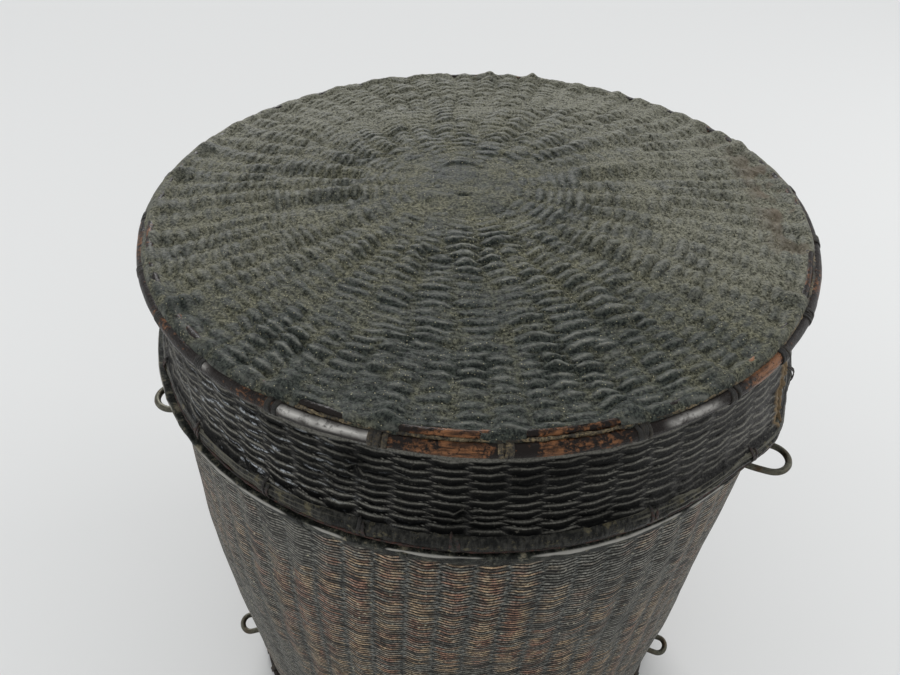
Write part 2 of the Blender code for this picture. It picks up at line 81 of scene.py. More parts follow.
# The lid's top: stakes of its three zones, where the outer two start, and its relief
ZONE_STAKES = (18, 34, 68)
MID_ZONE_R = 0.058
OUTER_ZONE_R = 0.108
ROW_RISE = 0.0019
RIDGE_RISE = 0.00042
KNOT_RISE = 0.0031
FOLDS = 18
FOLD_RISE = 0.0009

# Relief of the skirt and the body, the slit's azimuth, and dents by azimuth, level and size
SKIRT_RISE = 0.00165
BODY_BULGE = 0.00065
SLIT = -35.0
SKIRT_DENTS = ((-107.8, RIM_Z - 0.0247, 0.0022), (-92.6, RIM_Z - 0.0424, 0.0024))

# Azimuths of the lashings, in degrees; 0 is to the right and -90 is the front
RIM_KNOTS = (
    -158.8, -174.7, 171.7, 160.2, 149.1, 134.4, 122.8, 111.0, 99.1, 86.0, 76.8, 66.4,
    56.5, 45.5, 35.9, 22.5, 6.9, -9.5, -31.1, -42.0, -54.3, -69.4, -87.5, -103.9,
    -119.1, -132.8, -145.6,
)
HEM_KNOTS = (
    -123.1, -107.3, -94.0, -64.9, -44.0, -22.0, 0.0, 21.0, 40.0, 62.0, 81.0, 100.0,
    122.0, 141.0, 160.0, -178.0, -158.0, -140.0,
)
COLLAR_KNOTS = [k * 360 / 54 for k in range(54)]
FOOT_KNOTS = [k * 360 / 60 for k in range(60)]


def smooth(low, high, x):
    """0 below low, 1 above high, eased between."""
    t = np.clip((x - low) / (high - low), 0.0, 1.0)
    return t * t * (3 - 2 * t)


def bump_at(x, centre, width):
    """A soft hump of height 1 at the centre."""
    return np.exp(-((x - centre) / width) ** 2)


def turn_gap(angle, centre):
    """Signed angle from centre to angle, both in degrees."""
    return (angle - centre + 180.0) % 360.0 - 180.0


def near(angle, centre, width):
    """A soft hump round an azimuth, in degrees."""
    return bump_at(turn_gap(angle, centre), 0, width)


def chance(i, j, seed):
    """An even random number from 0 to 1 for each pair of whole numbers."""
    n = i.astype(np.int64) * 374761393 + j.astype(np.int64) * 668265263 + seed * 1442695041
    n = (n ^ (n >> 13)) & 0xFFFFFFFF
    n = (n * 1274126177) & 0xFFFFFFFF
    n = (n ^ (n >> 16)) & 0xFFFFFFFF
    n = (n * 2246822519) & 0xFFFFFFFF
    return ((n ^ (n >> 15)) & 0xFFFFFF) / float(0x1000000)


def noise(x, y, seed, trip=0):
    """Smooth noise from -1 to 1; with a trip, x repeats after that many cells."""
    x, y = np.broadcast_arrays(x, y)
    i, j = np.floor(x), np.floor(y)
    fx, fy = x - i, y - j
    fx = fx * fx * (3 - 2 * fx)
    fy = fy * fy * (3 - 2 * fy)
    this, after = (i % trip, (i + 1) % trip) if trip else (i, i + 1)
    low = chance(this, j, seed) * (1 - fx) + chance(after, j, seed) * fx
    high = chance(this, j + 1, seed) * (1 - fx) + chance(after, j + 1, seed) * fx
    return 2 * (low * (1 - fy) + high * fy) - 1


def layered(x, y, seed, layers=3, trip=0):
    """Noise with finer layers at half the strength each."""
    total, strength = 0.0, 1.0
    for k in range(layers):
        total = total + strength * noise(x * 2 ** k, y * 2 ** k, seed + 17 * k, trip * 2 ** k)
        strength /= 2
    return total


def ringed(turns, cells, y, seed, layers=3):
    """Layered noise that closes on itself after one turn of that many cells."""
    return layered(turns * cells, y, seed, layers, cells)


def patches(x, y, cell, seed, layers=3):
    """Layered noise over the plan, in cells of that size."""
    return layered(x / cell, y / cell, seed, layers)


def link(name, data):
    item = bpy.data.objects.new(name, data)
    bpy.context.collection.objects.link(item)
    return item


class Sheets:
    """Collects grids of points into one smooth mesh with named numbers at its points."""

    def __init__(self, tiles=1):
        self.points, self.sizes, self.corners, self.uvs, self.marks = [], [], [], [], {}
        self.tiles, self.tile, self.count = math.ceil(math.sqrt(tiles)), 0, 0

    def place_uv(self, uv):
        """Moves a unit square of UVs into the next tile."""
        side = self.tiles
        corner = np.array([self.tile % side, self.tile // side])
        self.tile += 1
        if side == 1:
            return uv
        return (corner + 0.03 + 0.94 * uv) / side

    def faces(self, corners, size, uv):
        """Adds faces of that many corners, by the numbers of their points."""
        self.corners.append(corners.reshape(-1))
        self.sizes.append(np.full(corners.size // size, size))
        self.uvs.append(uv)

    def add(self, points, marks):
        self.points.append(points)
        for key, values in marks.items():
            self.marks.setdefault(key, []).append(values)
        self.count += len(points)
        return self

    def grid(self, points, marks, wrap_rows=False, caps=False):
        """points is rows x columns x 3, a closed turn of columns whose rows run down the outer face."""
        rows, columns = points.shape[:2]
        spans = rows - (not wrap_rows)
        i, j = np.meshgrid(np.arange(spans), np.arange(columns), indexing="ij")
        start = self.count
        corner, uv = [], []
        for a, b in ((i, j), (i + 1, j), (i + 1, j + 1), (i, j + 1)):
            corner.append(start + (a % rows) * columns + b % columns)
            uv.append(np.stack([b / columns, 1 - a / spans], -1))
        self.faces(np.stack(corner, -1), 4, self.place_uv(np.stack(uv, 2).reshape(-1, 2)))
        if caps:
            for row, step in ((0, 1), (rows - 1, -1)):
                ring = start + row * columns + np.arange(columns)[::step]
                self.faces(ring, columns, np.full((columns, 2), 0.5 / self.tiles))
        spread = {key: np.broadcast_to(value, (rows, columns)).reshape(-1) for key, value in marks.items()}
        return self.add(points.reshape(-1, 3), spread)

    def shell(self, outer, inner, marks):
        """A closed wall of two faces; each mark is a pair, for the outer face and the inner one."""
        joined = {}
        for key, pair in marks.items():
            faces = [np.broadcast_to(value, face.shape[:2]) for value, face in zip(pair, (outer, inner))]
            joined[key] = np.concatenate(faces)
        return self.grid(np.concatenate([outer, inner]), joined, wrap_rows=True)

    def rings(self, radii, counts, surface, facing=1):
        """A disc of rings whose point count may double outward; surface gives points and marks."""
        angle, ring_r, first = [], [], [self.count]
        for r, n in zip(radii, counts):
            angle.append(np.arange(n) * TAU / n)
            ring_r.append(np.full(n, r))
            first.append(first[-1] + n)
        points, marks = surface(np.concatenate(ring_r), np.concatenate(angle))
        faces4, faces3 = [], []
        for k in range(len(radii) - 1):
            a, b, n = first[k], first[k + 1], counts[k]
            here = np.arange(n)
            after = (here + 1) % n
            if counts[k + 1] == n:
                faces4.append(np.stack([a + here, b + here, b + after, a + after], -1))
            else:
                double = 2 * n
                left, middle, right = b + 2 * here, b + 2 * here + 1, b + (2 * here + 2) % double
                faces4.append(np.stack([a + here, left, middle, a + after], -1))
                faces3.append(np.stack([a + after, middle, right], -1))
        plan = points[:, :2] / (2.04 * max(radii)) + 0.5
        hub = self.count + np.arange(counts[0])[None, :]
        for faces in (faces4, faces3, [hub]):
            if faces:
                whole = np.concatenate(faces)[:, ::facing]
                self.faces(whole, whole.shape[1], plan[whole.reshape(-1) - self.count])
        return self.add(points, marks)

    def make(self, name, material, body, nodes, slot):
        mesh = bpy.data.meshes.new(name)
        points, corners, sizes = (np.concatenate(a) for a in (self.points, self.corners, self.sizes))
        mesh.vertices.add(len(points))
        mesh.vertices.foreach_set("co", points.astype(np.float32).ravel())
        mesh.loops.add(len(corners))
        mesh.loops.foreach_set("vertex_index", corners.astype(np.int32))
        mesh.polygons.add(len(sizes))
        mesh.polygons.foreach_set("loop_start", (np.cumsum(sizes) - sizes).astype(np.int32))
        mesh.update(calc_edges=True)
        mesh.shade_smooth()
        for key, values in self.marks.items():
            layer = mesh.attributes.new(key, 'FLOAT', 'POINT')
            layer.data.foreach_set("value", np.concatenate(values).astype(np.float32))
        layer = mesh.uv_layers.new(name="OFBake")
        layer.uv.foreach_set("vector", np.concatenate(self.uvs).astype(np.float32).ravel())
        mesh.materials.append(material)
        item = link(name, mesh)
        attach(item, body)
        if nodes:
            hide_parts(*nodes)


def weave(c, w, seed, swell=0.55, lean=1.5, sharp=3.0, vary=0.25, reach=0.25, box=1.0):
    """Plain weave seen from its face. c counts stakes, and w counts lobes down the face.

    Gives the height, about 0 to 1, each strand's number, the place across the strand from
    its upper edge to its lower one, the stake's number, where the strand lies on top, and
    the distance from the stake's middle, 0.5 at the border of the next."""
    column = np.floor(c)
    across = c - column - 0.5
    odd = np.mod(column, 2)
    arch = np.cos(math.pi * across).clip(0, 1)
    half = 0.25 + reach * arch ** box
    level = w + 0.5 * odd
    lobe = np.floor(level)
    off = level - lobe - 0.5
    over = np.abs(off) < half
    under_off = np.where(off > 0, off - 0.5, off + 0.5)
    under_half = np.maximum(0.5 - half, 1e-4)
    place = np.where(over, 0.5 + 0.5 * off / half, 0.5 + 0.5 * under_off / under_half).clip(0, 1)
    rounding = (1 - np.abs(2 * place ** lean - 1) ** sharp).clip(0, 1) ** 0.6
    size = 1 - vary + 2 * vary * chance(column, lobe, seed)
    raised = size * (swell * arch + (1 - swell) * rounding)
    height = np.where(over, raised, (1 - swell) * rounding - 0.5 * swell * arch)
    strand = np.where(over, 2 * lobe - odd, 2 * lobe - odd + np.sign(off))
    return Weave(height, strand, place, column, over * 1.0, np.abs(across))


def soften(field):
    """Lacquer in the creases: a small blur down the rows and round them."""
    blurred = field.copy()
    blurred[1:-1] = 0.25 * field[:-2] + 0.5 * field[1:-1] + 0.25 * field[2:]
    return 0.25 * np.roll(blurred, 1, 1) + 0.5 * blurred + 0.25 * np.roll(blurred, -1, 1)


def walk(outline, step):
    """Even points along an outline of (radius, height) pairs, and its outward normals."""
    outline = np.array(outline, dtype=float)
    reach = np.concatenate([[0], np.cumsum(np.hypot(*np.diff(outline, axis=0).T))])
    at = np.linspace(0, reach[-1], max(int(round(reach[-1] / step)), 2) + 1)
    r, z = np.interp(at, reach, outline[:, 0]), np.interp(at, reach, outline[:, 1])
    dr, dz = np.gradient(r, at), np.gradient(z, at)
    return at[:, None], r[:, None], z[:, None], -dz[:, None], dr[:, None]


def to_space(r, z, angle, shift=0.0):
    r, z, angle = np.broadcast_arrays(r, z, angle)
    return np.stack([r * np.cos(angle) + shift, r * np.sin(angle), z], -1)


def around(columns):
    """Angles round the turn: in radians, as shares of it and in degrees."""
    angle = (np.arange(columns) * TAU / columns)[None, :]
    return angle, angle / TAU, np.degrees(angle)


def wall_r(z):
    """Outer radius of the body."""
    depth = (WALL_TOP_Z - z) / (WALL_TOP_Z - WALL_LOW_Z)
    return WALL_TOP_R - (WALL_TOP_R - FOOT_R) * depth ** 2


def body_shift(z):
    """The body leans a few millimetres to the left of the lid below its rim."""
    return -0.002 - 0.0045 * smooth(0.3, 0.17, z)


def crown_z(r):
    return TOP_EDGE_Z + CROWN * (1 - (r / TOP_EDGE_R) ** 2)


def under_z(r):
    """Level of the top panel's lower face."""
    return crown_z(r) - TOP_THICK


def settle(points):
    """The lid's edge hangs a little lower at the back and is drawn in at the right. Its skirt
    is bent outward beside the slit and drawn in below at the left."""
    x, y, z = points[..., 0], points[..., 1], points[..., 2]
    r = np.hypot(x, y)
    edge = smooth(0.09, 0.165, r) * smooth(0.348, 0.372, z)
    back = smooth(0.015, 0.165, y) * edge
    azimuth = np.degrees(np.arctan2(y, x))
    right = near(azimuth, -20, 20) * edge
    bent = near(azimuth, SLIT - 2, 7) * smooth(0.36, 0.326, z)
    left = near(azimuth, -163, 22) * smooth(0.36, 0.33, z) * smooth(0.167, 0.17, r)
    drawn = 1 + (0.0046 * bent - 0.0016 * right - 0.0012 * left) / np.maximum(r, 0.05)
    return np.stack([x * drawn, y * drawn - 0.002 * back, z - 0.0027 * back], -1)


class Num:
    """A number worked out by shader nodes, so that sums with it can be written plainly."""

    def __init__(self, paint, socket):
        self.paint, self.socket = paint, socket

    def __add__(self, other):
        return self.paint.math('ADD', self, other)

    def __sub__(self, other):
        return self.paint.math('SUBTRACT', self, other)

    def __rsub__(self, other):
        return self.paint.math('SUBTRACT', other, self)

    def __mul__(self, other):
        return self.paint.math('MULTIPLY', self, other)

    def __truediv__(self, other):
        return self.paint.math('DIVIDE', self, other)

    def ramp(self, low, high, start=0.0, end=1.0):
        """Maps low..high to start..end, held at both ends."""
        made = self.paint.node("ShaderNodeMapRange")
        keys = ("Value", "From Min", "From Max", "To Min", "To Max")
        for key, number in zip(keys, (self, low, high, start, end)):
            self.paint.feed(made.inputs[key], number)
        return Num(self.paint, made.outputs["Result"])


class Paint:
    """A Principled material; its colour is built up coat by coat."""

    def __init__(self, name, specular, **plain):
        self.material = bpy.data.materials.new(name)
        self.material.use_nodes = True
        self.tree = self.material.node_tree
        self.shader = self.tree.nodes["Principled BSDF"]
        self.shader.inputs["Specular IOR Level"].default_value = specular
        for key, value in plain.items():
            self.shader.inputs[key.replace("_", " ")].default_value = value
        self.where = self.tree.nodes.new("ShaderNodeTexCoord").outputs["Object"]

    def node(self, kind, **settings):
        made = self.tree.nodes.new(kind)
        for key, value in settings.items():
            setattr(made, key, value)
        return made

    def feed(self, socket, value):
        value = value.socket if isinstance(value, Num) else value
        if isinstance(value, bpy.types.NodeSocket):
            self.tree.links.new(value, socket)
        elif isinstance(value, tuple) and len(value) == 3 and socket.type == 'RGBA':
            socket.default_value = (*value, 1.0)
        else:
            socket.default_value = value

    def marks(self, *keys):
        """The named numbers at the mesh's points."""
        made = [self.node("ShaderNodeAttribute", attribute_name=key) for key in keys]
        return [Num(self, item.outputs["Fac"]) for item in made]

    def grain(self, scale, detail=2.0, rough=0.5, where=None):
        made = self.node("ShaderNodeTexNoise")
        self.feed(made.inputs["Vector"], where or self.where)
        for key, value in (("Scale", scale), ("Detail", detail), ("Roughness", rough)):
            made.inputs[key].default_value = value
        return Num(self, made.outputs["Fac"])

    def streaks(self, scale, detail, rough):
        """Noise stretched by its own scale along each axis."""
        made = self.node("ShaderNodeMapping")
        self.feed(made.inputs["Vector"], self.where)
        made.inputs["Scale"].default_value = scale
        return self.grain(1.0, detail, rough, made.outputs["Vector"])

    def specks(self, scale, size, share):
        """Scattered dots, size as a share of their spacing, present in a share of the cells."""
        made = self.node("ShaderNodeTexVoronoi")
        self.feed(made.inputs["Vector"], self.where)
        made.inputs["Scale"].default_value = scale
        parts = self.node("ShaderNodeSeparateColor")
        self.feed(parts.inputs[0], made.outputs["Color"])
        shown, bright = (Num(self, parts.outputs[k]) for k in (0, 1))
        spot = Num(self, made.outputs["Distance"]).ramp(size, 0.7 * size)
        return spot * (shown.ramp(1 - share - 0.01, 1 - share) * bright)

    def strands(self, stakes):
        """Plain weave worked out at each point, for rows finer than the mesh.

        Gives how far inside its strand a point lies, a random number for each strand and
        stretch of stakes, and how near the border between two stakes it is."""
        place = self.node("ShaderNodeSeparateXYZ")
        self.feed(place.inputs[0], self.where)
        x, y = (Num(self, place.outputs[k]) for k in (0, 1))
        row, slack, lean = self.marks("row", "slack", "lean")
        turns = self.math('ARCTAN2', y, x - lean) * (stakes / TAU)
        c = turns + slack + self.math('SINE', row * math.pi) * 0.07
        column = self.math('FLOOR', c)
        aside = c - column - 0.5
        across = self.math('ABSOLUTE', aside)
        odd = self.math('FLOORED_MODULO', column, 2.0)
        arch = self.math('POWER', self.math('COSINE', aside * math.pi), 0.2)
        half = arch * 0.25 + 0.25
        level = row + odd * 0.5
        lobe = self.math('FLOOR', level)
        off = level - lobe - 0.5
        size = self.math('ABSOLUTE', off)
        over = self.math('LESS_THAN', size, half)
        under = 1.0 - over
        deep = (0.5 - size) / self.math('MAXIMUM', 0.5 - half, 0.0001)
        depth = (1.0 - size / half) * over + deep * under
        number = lobe * 2.0 - odd + self.math('SIGN', off) * under
        join = self.node("ShaderNodeCombineXYZ")
        self.feed(join.inputs[0], number)
        self.feed(join.inputs[1], self.math('FLOOR', column * 0.5))
        luck = self.node("ShaderNodeTexWhiteNoise")
        self.feed(luck.inputs["Vector"], join.outputs[0])
        return depth, Num(self, luck.outputs["Value"]), across

    def math(self, kind, a, b=0.0):
        made = self.node("ShaderNodeMath", operation=kind)
        self.feed(made.inputs[0], a)
        self.feed(made.inputs[1], b)
        return Num(self, made.outputs[0])

    def blend(self, share, a, b):
        made = self.node("ShaderNodeMix", data_type='RGBA')
        self.feed(made.inputs[0], share)
        self.feed(made.inputs[6], a)
        self.feed(made.inputs[7], b)
        return made.outputs[2]

    def start(self, share, a, b):
        self.colour = self.blend(share, a, b)

    def coat(self, share, colour):
        """Lays a colour over what is there, where share is above 0."""
        self.colour = self.blend(share, self.colour, colour)

    def finish(self, roughness, height, depth):
        """depth is the height of the bump in metres."""
        self.feed(self.shader.inputs["Base Color"], self.colour)
        self.feed(self.shader.inputs["Roughness"], roughness)
        bump = self.node("ShaderNodeBump")
        bump.inputs["Distance"].default_value = depth
        self.feed(bump.inputs["Height"], height)
        self.feed(self.shader.inputs["Normal"], bump.outputs["Normal"])
        return self.material


def top_paint():
    """Grey-green grime over dark lacquer, thickest in the creases and at the sides, and laid on at the back
    as painted sheen; painted highlights on the ridges and painted shade at the front.
    """
    p = Paint("dusty_top", 0.16)
    relief, crest_highlight_and_wear, wear_and_highlight, more = p.marks("relief", "crest_highlight_and_wear", "wear_and_highlight", "dust_and_sheen")
    fine, mid, dust_and_sheen = p.grain(750, 3, 0.75), p.grain(260, 4, 0.7), p.grain(50, 6, 0.75)
    lacquer = p.blend(fine.ramp(0.42, 0.62), (0.005, 0.008, 0.007), (0.062, 0.072, 0.06))
    dusty_and_sheen = p.blend(fine.ramp(0.4, 0.61), (0.02, 0.021, 0.011), (0.205, 0.2, 0.135))
    share = relief.ramp(0.8, 0.15, 0, 0.6) + dust_and_sheen.ramp(0.38, 0.64, -0.35, 0.6) + more
    p.start(share.ramp(0, 1), lacquer, dusty_and_sheen)
    # Pale flecks where the position mark is high: dirt and painted sheen.
    p.coat(more.ramp(0.05, 0.6, 0, 0.6) * fine.ramp(0.36, 0.62), (0.3, 0.298, 0.252))
    # Pale ridge lines: painted highlight, partly wear.
    p.coat(crest_highlight_and_wear * mid.ramp(0.36, 0.58, 0.1, 0.8), (0.235, 0.238, 0.208))
    p.coat(mid.ramp(0.38, 0.28, 0, 0.7), (0.006, 0.007, 0.006))
    p.coat(wear_and_highlight, (0.13, 0.1, 0.07))
    p.coat(p.specks(780, 0.25, 0.34), (0.4, 0.37, 0.24))
    rough = share.ramp(0, 1, 0.46, 0.66) + fine.ramp(0.3, 0.7, -0.06, 0.1)
    return p.finish(rough, fine * 0.8 + mid * 1.2, 0.0009)


def skirt_paint():
    """Near-black lacquer with pale lines that are wear and painted highlight, grime, grey patches of dirt
    and painted sheen, painted glints, a ripped edge and painted shade inside the slit.
    """
    p = Paint("black_skirt", 0.03)
    wear_and_highlight, tear_and_hole_shade, dusty_and_sheen, gloss = p.marks("wear_and_highlight", "tear_and_hole_shade", "dusty_and_sheen", "gloss")
    fine, mid, broad = p.grain(1100, 2.5, 0.65), p.grain(260, 4, 0.65), p.grain(22, 3, 0.6)
    both = fine + mid
    p.start(mid.ramp(0.35, 0.7), (0.0002, 0.0003, 0.0004), (0.0014, 0.0016, 0.0016))
    # Grey where the patch mark is high: dirt and painted sheen.
    p.coat(dusty_and_sheen * both.ramp(0.75, 1.2, 0.15, 1), (0.105, 0.102, 0.099))
    # Pale lines on the strands: wear and painted highlight.
    p.coat(wear_and_highlight * fine.ramp(0.3, 0.6, 0.35, 1), (0.235, 0.228, 0.2))
    p.coat(both.ramp(1.2, 1.36, 0, 0.75), (0.1, 0.095, 0.078))
    # Painted glints.
    p.coat(gloss * fine.ramp(0.4, 0.55), (0.44, 0.47, 0.5))
    p.coat(tear_and_hole_shade.ramp(0.1, 0.9), (0.2, 0.145, 0.085))
    # Near black inside the slit: painted shade in the hole.
    p.coat(tear_and_hole_shade.ramp(1.2, 1.6), (0.002, 0.002, 0.002))
    rough = (mid + dusty_and_sheen * 0.3).ramp(0.35, 0.9, 0.26, 0.6) + broad.ramp(0.4, 0.6, -0.04, 0.04)
    return p.finish(rough, fine * 0.5 + mid, 0.0004)


def body_paint():
    """Grey lacquer on each strand, worn to red and tan fibre, and a bare lining."""
    p = Paint("worn_body", 0.11)
    depth, tone, across = p.strands(STAKES)
    wear_and_highlight, outside, pale = p.marks("wear_and_highlight", "outside", "pale")
    fine, broad = p.grain(700, 3, 0.7), p.grain(26, 4, 0.65)
    patchy, hue = p.streaks((70, 70, 500), 2, 0.5), p.streaks((95, 95, 45), 3, 0.6)
    stain = p.streaks((75, 75, 330), 4, 0.62)
    speckle = fine.ramp(0.36, 0.64)
    grey = p.blend(speckle, (0.045, 0.046, 0.04), (0.31, 0.304, 0.266))
    red = p.blend(speckle, (0.11, 0.052, 0.036), (0.48, 0.27, 0.185))
    tan = p.blend(speckle, (0.19, 0.13, 0.075), (0.64, 0.48, 0.31))
    bare = p.blend((hue + tone * 0.12).ramp(0.5, 0.64), red, tan)
    show = (wear_and_highlight + tone * 0.45).ramp(0.5, 0.85) * patchy.ramp(0.38, 0.56)
    line = p.blend(show * across.ramp(0.46, 0.26), grey, bare)
    line = p.blend(tone.ramp(0.12, 0.09, 0, 0.45), line, (0.026, 0.025, 0.023))
    line = p.blend(pale * fine.ramp(0.34, 0.6), line, (0.36, 0.345, 0.3))
    # Painted shade: near black in the gaps between strands.
    edge = (depth + fine.ramp(0.3, 0.7, -0.12, 0.12)).ramp(0.3, 0.58)
    p.start(edge, (0.004, 0.004, 0.0035), line)
    p.coat(across.ramp(0.42, 0.485) * fine.ramp(0.4, 0.58, 0, 0.8), (0.15, 0.16, 0.155))
    p.coat(broad.ramp(0.5, 0.75, 0, 0.25), (0.14, 0.135, 0.12))
    p.coat(stain.ramp(0.5, 0.36, 0, 0.8), (0.014, 0.013, 0.012))
    p.coat(p.specks(300, 0.2, 0.25), (0.5, 0.47, 0.34))
    # Painted shade in the lining's gaps too.
    lining = p.blend(depth.ramp(0, 0.4), (0.02, 0.013, 0.008), (0.22, 0.15, 0.085))
    p.start(outside, lining, p.colour)
    return p.finish(fine.ramp(0.3, 0.7, 0.45, 0.7), fine * 0.35 + depth.ramp(0, 0.7), 0.00045)


def rod_paint(name, dark, bare, gloss=0.22):
    """Rattan along a ring: lacquer, worn through to the cane where marked."""
    p = Paint(name, 0.16, Coat_Roughness=0.16)
    wear_and_highlight, glint_highlight = p.marks("wear_and_highlight", "gloss")
    fine, streak = p.grain(420, 4, 0.7), p.streaks((110, 110, 1100), 4, 0.65)
    p.start((wear_and_highlight + fine.ramp(0.3, 0.7, -0.5, 0.5)).ramp(0.4, 0.8), dark, bare)
    p.coat(streak.ramp(0.44, 0.6, 0, 0.85), (0.008, 0.005, 0.004))
    # A glossy coat and a painted white highlight where the glint mark is set.
    p.feed(p.shader.inputs["Coat Weight"], glint_highlight.ramp(0, 1, 0, 0.6))
    p.coat(glint_highlight * fine.ramp(0.28, 0.48), (0.62, 0.6, 0.56))
    return p.finish(fine.ramp(0.3, 0.7, gloss, gloss + 0.25), fine + streak, 0.0005)


def band_paint(name, face, streak_colour, speck_colour, wear_and_highlight_colour, rough_low, dark=0.44):
    """Smooth lacquer over a split band, with streaks across it and pale blots; its pale marks are partly
    painted highlight, and low relief gets painted shade.
    """
    p = Paint(name, 0.11)
    relief, wear_and_highlight = p.marks("relief", "wear_and_highlight")
    fine, blot = p.grain(900, 3, 0.65), p.grain(150, 4, 0.7)
    upright = p.streaks((620, 620, 60), 3, 0.6)
    p.start(upright.ramp(0.38, 0.66, 0, 0.9), face, streak_colour)
    p.coat(blot.ramp(0.56, 0.66, 0, 0.75), speck_colour)
    p.coat(blot.ramp(dark, dark - 0.1, 0, 0.9), (0.005, 0.0055, 0.005))
    p.coat(fine.ramp(0.62, 0.72, 0, 0.6), speck_colour)
    p.coat(wear_and_highlight.ramp(0.2, 1), wear_and_highlight_colour)
    # Painted shade where relief is low: the ledge's lower end and the hem's inner face.
    p.coat(relief.ramp(0.35, 0), (0.005, 0.005, 0.005))
    return p.finish(fine.ramp(0.3, 0.7, rough_low, rough_low + 0.25), fine + upright, 0.0004)


def fibre_paint(name, dark, light):
    p = Paint(name, 0.35)
    fine, blot = p.grain(1000, 4, 0.7), p.grain(160, 3, 0.6)
    p.start(p.marks("wear_and_highlight")[0] * fine.ramp(0.4, 0.62), dark, light)
    p.coat(blot.ramp(0.42, 0.6, 0, 0.9), (0.007, 0.007, 0.006))
    return p.finish(fine.ramp(0.3, 0.7, 0.35, 0.75), fine, 0.0006)


def bare_paint(name, low, high):
    """Bare smoked weave of the inside, with painted shade where the weave is low."""
    p = Paint(name, 0.3)
    relief, tone = p.marks("relief", "tone")
    fine, broad = p.grain(500, 3, 0.6), p.grain(18, 3, 0.6)
    face = p.blend(tone * 0.7 + fine * 0.4, low, high)
    # Painted shade: darker where the weave is low, between its strands.
    p.start(relief.ramp(0, 0.5), tuple(0.18 * x for x in low), face)
    p.coat(broad.ramp(0.4, 0.7, 0, 0.5), tuple(0.5 * x for x in low))
    return p.finish(fine.ramp(0.3, 0.7, 0.55, 0.8), fine, 0.0002)


def wire_paint():
    p = Paint("iron_wire", 0.5, Metallic=1.0)
    fine, blot = p.grain(600, 4, 0.7), p.grain(150, 3, 0.6)
    p.start(fine.ramp(0.3, 0.7), (0.045, 0.044, 0.034), (0.15, 0.145, 0.115))
    p.coat(blot.ramp(0.5, 0.7, 0, 0.8), (0.075, 0.045, 0.025))
    return p.finish(fine.ramp(0.3, 0.7, 0.34, 0.58), fine, 0.0003)


